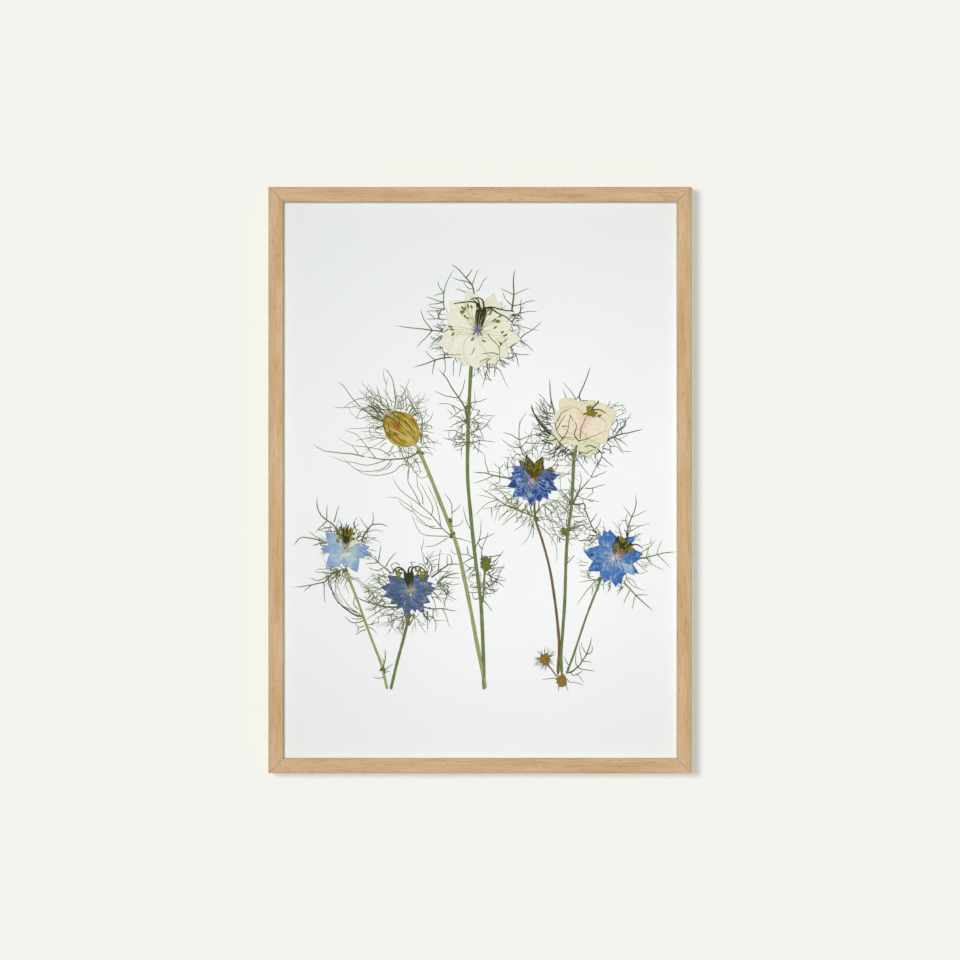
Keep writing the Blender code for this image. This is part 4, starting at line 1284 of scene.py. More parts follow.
CAPSULE = (
    Part("capsule_stem", "stem_pale", (
        Stem(1.9, "-34,18 -32.9,16.4 -27.5,4 -21.5,-11 -16,-25 -11.8,-37 -8.5,-52 -5,-69 -1.9,-86 0.7,-99 "
                  "3.1,-111.5", Finish.PALE_STEM, "-32.5,15; -15.3,-30; -15,-29; -16,-22"),)),
    Part("seed_capsule", "capsule", (SeedPod(),)),
    Part("capsule_bracts", "leaf_thread", (
        Threads("-33,15 -37,12.5 -42,11.5 -52,11 -62,12.5; -50,30 -55,33 -60,36 -64,39;"
                "-48,37 -54,42 -58,44 -61,44; -31.5,20 -31,27 -31,33 -33,38",
                finish=Finish.PALE_THREAD, stout_width=0.95),
        Threads("-62,12.5 -68,13.8 -75,14.5 -82,15.5 -86,17 -90,19.5; -64,39 -68,43.5 -73,50 -76.5,53;"
                "-45,42 -46,50 -47.5,55 -50,58.5 -52,60; -46,38 -45,42 -46,48;"
                "-51,31 -56,37 -59,42 -61.5,44; -34,36 -37,42 -39.5,49; -49,35 -55,40 -61,43.5",
                "-47,11.3 -50,7.5 -54,5.5 -60,4.5 -66,5.5 -70,8.5 -74,13;"
                "-50,11 -55,9 -61,8 -68,9.5 -73,10 -81,13;"
                "-38,8 -42,8 -46,4.5 -51,3 -56,2.5 -62,3.5 -66,5.5 -72,10;"
                "-48,13 -53,16 -60,17.5 -68,18.5 -72,20.5 -77,23; -56,12 -60,17 -63,21 -67,25 -74,27;"
                "-65,14 -69,19; -51,22 -57,23 -61,22 -67,21; -50,20 -53,18 -54,16; -52,25 -57,25.5 -64,26;"
                "-52,27 -59,28 -65,27.5 -72,27; -53,28 -57,29 -59,27 -58.5,24 -55,22.5;"
                "-61.5,44 -66,43 -71,40 -74,38; -58,46 -64,53; -54,42 -58,46; -53,43 -55,49.5;"
                "-48,38 -50,42 -53,44.5 -58,45 -61,44; -53,34 -60,34 -65,33 -69,36 -71,41;"
                "-52,36 -58,37 -67,38.5; -47,39 -48.5,44 -52,49; -41,38 -41,43 -43,47;"
                "-39,37 -40,47 -38.5,52 -37.5,55; -42,44 -40.5,48 -43,51.5; -33,34 -33.5,38 -36,43 -40,50.5;"
                "-34,40 -31,43 -29,46.5; -31.5,20 -32,25 -31,32 -29,35 -29,41; -30,30 -27,32 -25,36.5;"
                "-31,26 -29,26 -24,25; -31.5,19 -28,20 -22,21; -32,15 -30,15 -26,14 -26,12;"
                "-33,12 -37,8 -38.5,4 -38,0; -35,10 -29,9; -31,10 -28,7 -27.5,3 -31,1 -34,3 -34.5,6;"
                "-35,13.5 -42,15.5 -47,14 -50,11; -45,12 -48,16 -46,19; -47,9 -50,6 -56,4;"
                "-38,12 -40,9 -38,7; -52,31 -58,33 -62,32; -50,36 -56,36 -59,38;"
                "-50,39 -54,40 -60,38.5 -63,38; -55,35 -57,41 -56,45; -51,33 -54,38 -57,37;"
                "-45,41 -48,43 -50,47; -44,38 -43,42 -40,43 -38,46; -38,36 -36,40 -38,44;"
                "-36,35 -33,36 -30,34; -33,30 -31,30 -29,32; -33,27 -30,28 -28,26;"
                "-33,24 -30,23 -28,24 -28,20; -36,12 -33,8 -32,5 -34,2; -37,8 -35,4 -33,5 -30,4;"
                "-32,17 -30,17.5 -27,17; -57,45.5 -59,48 -60,46; -46,44 -43,45 -41,42;"
                "-45,38 -42,38.5 -39,37; -35,38 -38,40 -42,39; -28,29 -26,29 -26,27",
                finish=Finish.PALE_THREAD, stout_width=0.62, fine_width=0.42),
        Threads("-49,37 -49.5,33 -50,29; -48.3,36 -49,34.5 -51,33; -47.6,35.5 -49.5,32;"
                "-50,30 -49.5,27 -51,25.5",
                finish=Finish.STYLE, stout_width=1.3),
        Threads(over="-47.5,37 -44.5,33.5 -40,30.5 -36,27 -33.8,24.5; -52,30 -50,25.5 -46.5,21.5 -42,18.5;"
                "-47,36.5 -42.5,35.5 -38.5,32.5 -35,28; -49.5,34 -46,31.5 -41.5,26 -38.5,22.5;"
                "-44,35 -43,31.5 -44.5,28.5; -40,32 -39.6,29 -37,27.8; -47,24.6 -44.5,23.6 -42.2,20.4;"
                "-49,29 -47.5,24 -43.5,19.6; -38,30 -36,24.5 -34.5,21", finish=Finish.DARK_THREAD,
                fine_width=0.42),
        Threads(over="-60,40 -54,36.5 -49.5,34 -45.5,33; -58,34 -53,32 -49.5,30.5 -46,27.5;"
                "-56,39.5 -51,37.5 -46.5,37.5 -41.5,35.5; -56,27.5 -52.5,28.5 -48.5,27",
                fine_width=0.6),
        Knob((-49.3, 35.4), (1.1, 1.3), 9, 0, 0.0, 2.3, Finish.BLUSH),
        Tangle((-43, 28), 9, 26, 34, (40, 300), Finish.PALE_THREAD),
        Tangle((-42, 27), 9, 22, 16, (-60, 60), Finish.PALE_THREAD),
        Tangle((-47, 34), 6, 26, 12, (110, 190), Finish.OLIVE_THREAD))),
    Part("capsule_leaf", "leaf_thread", (Threads(
        "-15.5,-30 -20,-26 -25,-20 -30,-15 -35,-11 -40,-7.5 -44,-3.5 -47.5,2.5; -15.5,-30 -15,-24 -15,-17",
        "-21,-25 -22,-18 -24,-11 -27,-5 -28.5,-1.5; -26,-19 -25.5,-14 -30,-5 -32.5,-1;"
        "-30.5,-13 -31,-8 -33.5,-3 -34,3 -36,6; -32,-13 -35,-7 -38,-2 -38.5,2 -38,6;"
        "-20,-26 -26,-25.5 -31,-22 -35,-18 -37.5,-10; -24,-25 -30,-24 -35,-20;"
        "-26,-21 -31,-19 -36,-15 -40,-12.5 -43.5,-10 -46,-9.3 -51,-9.5; -36,-17 -41,-14 -43.5,-10.3;"
        "-17,-30 -23,-30 -29,-29.5 -33,-26.5 -37,-17; -17.5,-31 -22,-34 -27,-35.5 -30.5,-35.5;"
        "-15,-17 -15.5,-12 -19.5,-7; -15.5,-18 -12,-15 -10,-13; -15,-25 -11,-24 -8.5,-21;"
        "-13.5,-31 -10,-31.5 -6,-33 -4,-34", finish=Finish.PALE_THREAD, stout_width=0.65,
        fine_width=0.45),)),
)

PALE = (
    Part("pale_stem", "stem_pale", (
        Stem(1.15, "-71,-45 -71.5,-49 -66.6,-61.5 -62.4,-73 -57.6,-86 -52.8,-98.5 -49.6,-111.8",
             Finish.PALE_STEM, "-72.6,-48.3; -51.8,-101.5", 1.15),)),
    Part("pale_petals", "pale_petal", (Whorl((-71.5, -37.5), Finish.PALE_PETAL, (
        Petal((-71.3, -22.8), 3.5, 0.6), Petal((-72.8, -46.5), 5), Petal((-64.5, -42.2), 5.5),
        Petal((-82.7, -27.8), 7), Petal((-59, -35.6), 5.5, 0.5), Petal((-82.4, -47), 7.4),
        Petal((-85.3, -36.8), 5.6, 0.4), Petal((-65.8, -49.2), 7.2), Petal((-58, -39.4), 5.2, 0.3)),
        claw=0.14, widest=0.62, shoulder=1.2),
        Whorl((-69.5, -36), Finish.WHITE_PETAL, (
            Petal((-67, -29.5), 4.5, 1.0), Petal((-64.5, -33.5), 5.0, 1.0)), step=0.05))),
    Part("pale_bracts", "leaf_thread", (Threads(
        "-76,-27 -79,-23.5 -82,-21.5 -85,-18.5 -87,-14 -87,-9;"
        "-63,-33 -62,-29 -60,-26.5 -57.5,-24 -53,-23.7 -49,-25;"
        "-74,-48 -78,-49.5 -80.5,-51.5 -83,-54.5 -87,-55.3 -96,-57 -100,-57;"
        "-82,-34 -85,-32.5 -90,-31.3 -96,-31 -100,-35",
        "-82,-21.5 -81.7,-13; -78,-22.5 -75.3,-13; -82,-22 -88,-28; -79,-25 -87,-26.5;"
        "-76,-27.5 -82,-27.5 -87,-26.3; -84,-32 -89,-29.5 -91.5,-27; -84,-33.5 -90,-35;"
        "-57.5,-23.8 -57,-20 -57.5,-17; -60,-26 -63.5,-21.5 -64.5,-19.5; -61,-28 -56,-26.8 -51.5,-27.5;"
        "-62,-31 -55,-30.8; -67.5,-26 -67,-22 -65.5,-19.5; -80.5,-51 -86,-53.5 -91.5,-52.5;"
        "-79,-50 -83,-49.5 -89,-48.8; -76,-48 -82,-47.4 -88,-48; -83.5,-55 -83,-66; -90,-56 -94,-59.5;"
        "-81,-52 -80.5,-57 -77,-62 -73,-66; -77,-49 -77,-53 -77.5,-59 -75,-63;"
        "-75,-48 -76.5,-51 -73,-51.5 -70,-54; -78,-49 -80,-47.5 -79,-46.5; -75,-46 -73,-48 -70,-49;"
        "-73,-47.5 -70.5,-50 -69,-50.5; -77,-47.5 -76,-50; -66,-31 -64,-29 -65,-26.5;"
        "-65,-33 -62,-31 -60,-33; -64,-30 -61.5,-31.5 -63,-34; -66,-29 -62,-27.5 -60,-29;"
        "-67,-30 -65,-32.5 -63,-32; -66,-27 -67.5,-24 -67,-21; -74,-24 -75,-21.5; -86,-31.5 -85,-35 -82,-35;"
        "-81.5,-33.5 -86,-34.3 -89,-34.8"),
        Threads("-76.5,-28.5 -74.5,-29.5; -76,-32.5 -74.3,-33.5; -67.5,-31.5 -65.5,-33; -69,-28 -67,-29.5",
                finish=Finish.DARK_THREAD, stout_width=1.1, root_lift=2.4),
        Tangle((-71.5, -37), 9, 19, 30, (-30, 190)),
        Tangle((-73, -47), 3, 15, 24, (180, 330)))),
    Part("pale_pistil", "pistil", (
        Pistil((-72, -36), ((-72.3, -37, -73.2, -26, 2.3), (-71.8, -37, -71.3, -26, 2.6),
                            (-71.3, -36.5, -69.6, -26.5, 2.2)),
               "-73.6,-27 -74.4,-24; -71,-27 -70.2,-23.8; -69.8,-28 -69,-25; -72.8,-28 -73,-25",
               "-74.8,-26; -75.4,-27.5; -74.6,-29; -68.8,-27; -68,-28.5; -69.2,-30; -72.2,-26.5;"
               "-76.3,-32.5; -75.2,-30.5; -68.4,-31.5; -73.7,-27.8; -70,-27.3; -72,-28.8; -74,-31;"
               "-70.2,-29.2",
               style_width=0.7),
        Pistil((-71.8, -37.6), hairs=24, hair_length=3.6, hair_finish=Finish.FINE_FILAMENT),
        Knob((-70.8, -39.2), (1.6, 1.4), 9, 0, 0.0, 2.2, Finish.BLEACHED))),
    Part("pale_leaf", "leaf_thread", (Threads(
        "-62.5,-73 -67,-72 -71,-69.5 -75,-66 -78,-62 -79.5,-57 -80.5,-52",
        "-64,-72 -69,-68.5 -73,-63.5 -75.3,-60; -66,-71 -71,-68.5 -77,-65; -65,-73.3 -69,-71 -74,-67.5;"
        "-65.5,-69 -67.5,-66 -67,-62; -62,-75 -65,-76 -69,-76 -73,-72.5; -62,-78 -65,-78.5 -67.5,-76;"
        "-61,-80 -64,-81 -67,-83; -60.5,-77.5 -57,-77 -53,-75.5; -59.5,-78.5 -57,-80 -55,-82;"
        "-65,-79 -65.5,-81.5; -63,-73.8 -66,-74.5 -69,-73.5; -58,-77 -56,-75"),)),
    Part("pale_base_leaf", "leaf_thread", (Threads(
        "-51,-104.5 -51.5,-99 -50.5,-95 -51,-90",
        "-51,-102 -49,-100 -46.5,-98.5; -51,-103 -48,-102; -51.5,-105.5 -54,-106 -57.5,-105.3;"
        "-51,-98 -52.5,-95"),)),
)

DUSK = (
    Part("dusk_stem", "stem_green", (
        Stem(1.5, "-38,-69 -38.8,-76 -40.8,-84.5 -44.3,-97.5 -47.7,-112",
                  Finish.GREEN_STEM, "-38.5,-73; -38.8,-76.5"),)),
    Part("dusk_petals", "dusk_petal", (Whorl((-37.6, -58.5), Finish.DUSK_PETAL, (
        Petal((-27, -50.5), 6, 0.2), Petal((-31.5, -50.3), 6, 0.1), Petal((-45, -69.5), 5),
        Petal((-40, -73.2), 6.5, 0.1), Petal((-34.5, -70.8), 6, 0.2), Petal((-30, -71), 7),
        Petal((-48, -66.2), 7, 0.6), Petal((-49.5, -51), 7, 0.7), Petal((-26.5, -65.5), 7, 0.5),
        Petal((-52, -62), 7.5, 0.7), Petal((-23.2, -57.8), 6.5, 0.7), Petal((-53.2, -57.4), 7.5, 0.5),
        Petal((-25.5, -61), 6, 0.3), Petal((-25, -55), 5.5, 0.5)),
        widest=0.56, shoulder=1.15, claw=0.25),)),
    Part("dusk_bracts", "leaf_thread", (Threads(
        "-26,-52 -22.5,-49.5 -19,-46.5 -16,-45 -10,-45; -30,-68 -25,-69 -20,-68.7 -16,-69.5 -12,-70;"
        "-44,-68 -50,-67.8 -56,-66.5 -61,-65 -66.5,-62.5;"
        "-23,-55.5 -20.5,-53 -18,-51.5 -15,-50.3 -10.5,-49.5",
        "-22.5,-49.5 -22,-43 -20.7,-36.5; -22,-49 -15,-49; -17.5,-46 -17.8,-40; -15,-45 -15.5,-41 -18,-39.5;"
        "-19,-54.5 -15,-56 -10,-55.5; -19,-52 -10.5,-52.5; -25,-60 -22,-63 -20,-66;"
        "-17,-57 -18,-62 -19.5,-68.5; -22,-57 -15,-63 -11.5,-64.5; -20,-69 -18,-73 -16,-79.5;"
        "-25,-69 -25,-73 -23.7,-77 -24,-82; -25,-73 -27.5,-76; -28,-70 -28.2,-81;"
        "-26.5,-50 -26,-46 -28,-42.5 -30.5,-40; -26,-46.5 -23,-46; -50,-68 -54,-69.8 -61,-75;"
        "-60,-66 -57,-62 -60,-55; -56,-66 -60,-60 -63.5,-58.5; -57,-61 -61,-58 -65.5,-52;"
        "-40,-71 -45,-72 -48,-71.5; -39,-72 -44,-74 -46.5,-75.5; -42,-73 -41,-77 -43,-79.3 -45.5,-78;"
        "-37,-72 -33,-75 -30,-77.5; -48,-51 -49,-48 -51,-47; -54.5,-44 -61.5,-45;"
        "-54.5,-43.5 -53.5,-39 -52.7,-34.5; -50.5,-46.5 -48,-42 -44.5,-38.5; -52,-47 -55,-48.5 -60,-46.5;"
        "-50,-50 -57,-54; -49,-52 -53,-51 -56,-50; -57,-62 -54,-64 -50,-65; -58,-64 -54,-62 -52,-64 -50,-67;"
        "-60,-63 -56,-60 -54,-62; -62,-60 -58,-60 -55,-66; -54,-66 -52,-63 -53,-61; -52,-68 -50,-65 -48,-66;"
        "-58,-66 -62,-62; -48,-68 -46,-70 -47.5,-72 -50,-71; -46,-69 -44,-71 -42,-70 -41,-73;"
        "-45,-67.5 -48,-69.5 -51,-68.5; -40,-71 -42,-75 -44,-74.5; -36,-71 -34,-73 -32,-71;"
        "-35,-72 -36.5,-75 -38,-78; -55,-67 -58,-69.5 -62,-69; -22,-55 -19,-57 -17,-56;"
        "-24,-53 -20.5,-55 -16,-57.5; -26,-62 -24,-66 -24,-70; -30,-69 -29.5,-73 -24.5,-72.5;"
        "-46,-49 -47.5,-46 -46.5,-45; -33,-45 -31,-45 -28,-48; -43,-45.5 -45,-44.3 -48,-45.5;"
        "-36,-45.5 -37,-44 -34,-44; -44,-73 -48,-72.5 -52,-72; -59,-59 -61,-56",
        "-47,-50 -51,-47 -55,-43.5 -60,-40 -66,-37"),
        Tangle((-39, -62), 13, 27, 34, (140, 250), Finish.PALE_THREAD), Tangle((-38, -61),
            13, 26, 20, (250, 330)),
        Tangle((-36, -58), 13, 27, 22, (-30, 80)))),
    Part("dusk_pistil", "pistil", (
        Pistil((-37.6, -58.5), ((-38, -58, -40.3, -49, 2.0), (-37.5, -58.5, -38.3, -48.5, 1.9),
            (-37, -58, -36.4, -48.5, 2.0)),
               "-40,-50 -41.5,-47.5 -44,-46.7 -46.3,-48.3 -46.5,-50;"
               "-37,-50 -36,-47 -33,-46.2 -30.5,-47.5 -29,-49.5; -38.5,-50 -38,-47 -36,-46;"
               "-39.5,-50 -41,-48.3 -43,-47.6",
               "-44,-49; -43,-50.5; -44.6,-50.2; -43.5,-48.4; -31,-51.5; -30,-49; -31.5,-49.8; -33,-48.6;"
               "-29,-51; -32,-53; -43,-52.5; -45,-48.8; -42.2,-49.6; -34.4,-47.8; -32.2,-47.6; -29.4,-50;"
               "-30.4,-52.4; -28.4,-49.4; -33.6,-50.4", False,
               style_width=0.9),
        Pistil((-37.6, -58.5), hairs=26, hair_length=4.4, hair_finish=Finish.FINE_FILAMENT),
        Knob((-45.3, -52.6), (1.7, 0.8), 10, 0, 0.0, 2.35, Finish.RUST),
        Knob((-43.4, -65.4), (1.0, 0.7), 7, 0, 0.0, 2.35, Finish.RUST),
        Knob((-37.3, -61.4), (0.7, 1.6), 8, 0, 0.0, 2.4, Finish.BLEACHED),
        Threads(over="-37,-54 -37.4,-58 -37.7,-66 -38.2,-71; -49,-66 -43,-66.3 -36,-67.5 -29,-67;"
                "-30,-59 -25,-60 -22,-63; -44.5,-68 -43,-64 -44,-61",
                fine_width=0.42))),
)

ROYAL = (
    Part("royal_stem", "stem_brown", (
        Stem(1.05, "29.2,-8 29.5,-20 33.5,-33 37.4,-48 40.1,-65 41.8,-80 42.4,-90 41.9,-98 41.7,-104.2",
             Finish.BROWN_STEM, "29.8,-21", 1.5),)),
    Part("royal_petals", "royal_petal", (Whorl((28.8, 0.3), Finish.ROYAL_PETAL, (
        Petal((17, 7.6), 7, 0.7), Petal((42.2, 2.6), 7, 0.6), Petal((27.6, -14), 8), Petal((17.2, -9.2), 8),
        Petal((36.5, -10.5), 7), Petal((41.8, -5.6), 5.5), Petal((15.3, 0.6), 8, 0.3),
        Petal((39.8, -1.6), 7, 0.7), Petal((23.2, -10.8), 7.5, 0.7), Petal((32, -11.8), 8.5, 0.3),
        Petal((14.6, -3.6), 7.5, 0.6), Petal((16.6, 4), 8, 0.2), Petal((38, -7.2), 6.5, 0.5),
        Petal((27.5, -10.5), 8, 0.4), Petal((21, 10.6), 6, 0.2, Finish.DUSK_PETAL),
        Petal((39.2, 5.2), 5.5, 0.6, Finish.DUSK_PETAL),
        Petal((24.6, 13.4), 5.6, 0.2, Finish.GREENED_PETAL),
        Petal((33.4, 12.6), 5.8, 0.0, Finish.GREENED_PETAL)),
        shoulder=1.2, claw=0.2),)),
    Part("royal_bracts", "leaf_thread", (Threads(
        "30,-20 25,-18 20,-16 15,-14 11,-11.5 6,-8 0,-4; 17,1 12,1.5 7,2.5 3,3.8 -4,4.3",
        "23,13 21.5,18 20.8,22 21,28 21.7,33.5; 20.8,21.5 17,24 12,25.5; 21,21.5 25,23 30,24.3 35,23.5;"
        "22,17.5 18,17.5 14,20 11,22.5; 22,17.5 25,21 29,28; 24,14.5 27,16 29,18.5 31,22;"
        "22,13.5 19,13.5 16,9; 24,20 30,19.5 38,20; 7,2.3 2,0 -4,-2; 10.5,1.5 10.3,-1 6,-3 5,-5.5;"
        "10.3,1.5 10.2,6 7,9.5; 10.2,6 13,8.5; 4.5,4 3,9 2.5,14.5; 15,-14 9,-10.5 3,-9 -2,-7.5;"
        "20,-15.5 14,-13.5 8,-14.3 1,-15.5; 9,-10.8 4,-12.5 -3,-19; 15,-16 9.5,-22; 20,-17.5 11,-24.5;"
        "25,-20.5 22,-24.5 18,-27.5; 16,-13 10.5,-5; 17,-13 16.5,-8; 6,-15 6.5,-20;"
        "28.5,-22 27.5,-26 25.5,-31 22,-35.5; 28.5,-23 28.3,-31.5; 31,-20 35,-19.5 41.5,-16;"
        "35,-12 40,-15 42,-19 42.5,-24; 30.5,-22 36,-21 44,-26; 31,-24 36,-28 39.5,-33 41,-38 41,-45;"
        "26,-12 28,-18; 31.5,-12 31,-19; 24,-13 27,-19; 29,-19 31.5,-14 31,-11; 30,-18 34,-13 37,-14;"
        "20,-10 20.5,-14 22,-18; 18,-13 20,-11 22,-13; 26,-18 24,-15 25,-12; 14.5,6.5 15,10 14.5,12.5;"
        "34,-13 38,-17 38.5,-20; 22,-16 25,-16.5 27,-19; 12,-10 14,-8 17,-8.5; 8,-14.5 10,-11",
        finish=Finish.PALE_THREAD),
        Tangle((28.5, -3), 12, 30, 44, (150, 340), Finish.PALE_THREAD),
        Tangle((28.5, 0), 12, 27, 24, (-20, 150), Finish.PALE_THREAD))),
    Part("royal_pistil", "pistil", (
        Pistil((28.8, 0.3), ((28.8, 1, 27.4, 7.6, 2.4), (29.4, 1, 30.6, 8, 2.6), (29, 0.8, 29, 7.4, 2.2)),
               "27.2,7 26.2,8.5; 30.8,7 32.2,9.6; 28.6,7 28.4,8.8",
               "27.5,7; 26.3,6.2; 31,8; 32.5,9; 31.8,6.6; 26.5,8; 30,6.4; 32.6,7.4; 24.2,0.2; 26.5,-4.2;"
               "24.6,9.6; 25.4,11; 33.4,10.6; 31.6,9.8; 22.6,8.6; 37,6.2; 38.2,5.6; 28.8,5.2;"
               "21.6,9.8", False,
               hairs=34, hair_length=1.9, ovary_finish=Finish.HEARTWOOD, hair_finish=Finish.RUSSET),
        Knob((28.2, -0.4), (1.7, 1.1), 12, 0, 0.0, 2.6, Finish.BLUSH),
        Threads(over="23.8,5.2 25.6,2.6 27.2,0.8; 30.6,-0.8 33.6,-2.2 37,-3.4 40.4,-4.4;"
                "31.4,-2.4 35,-5 40.5,-5.4; 28.6,-1.4 28.4,-4 27.4,-6.6; 27.6,-1.4 26,-4.4 22.6,-7.4;"
                "29.4,-1.6 30.2,-4.6",
                finish=Finish.STREAK, fine_width=0.36),
        Threads(over="20.4,11.6 22.2,7.6 25,4; 30.8,0.4 33.4,-1.4 35.6,-3.6; 24.6,2.6 24.2,0 25.4,-2.4;"
                "35.6,5.4 38,4.6 40.6,4.4; 21.6,10.6 23.4,9.6 23,12", finish=Finish.STYLE,
                fine_width=0.4))),
)

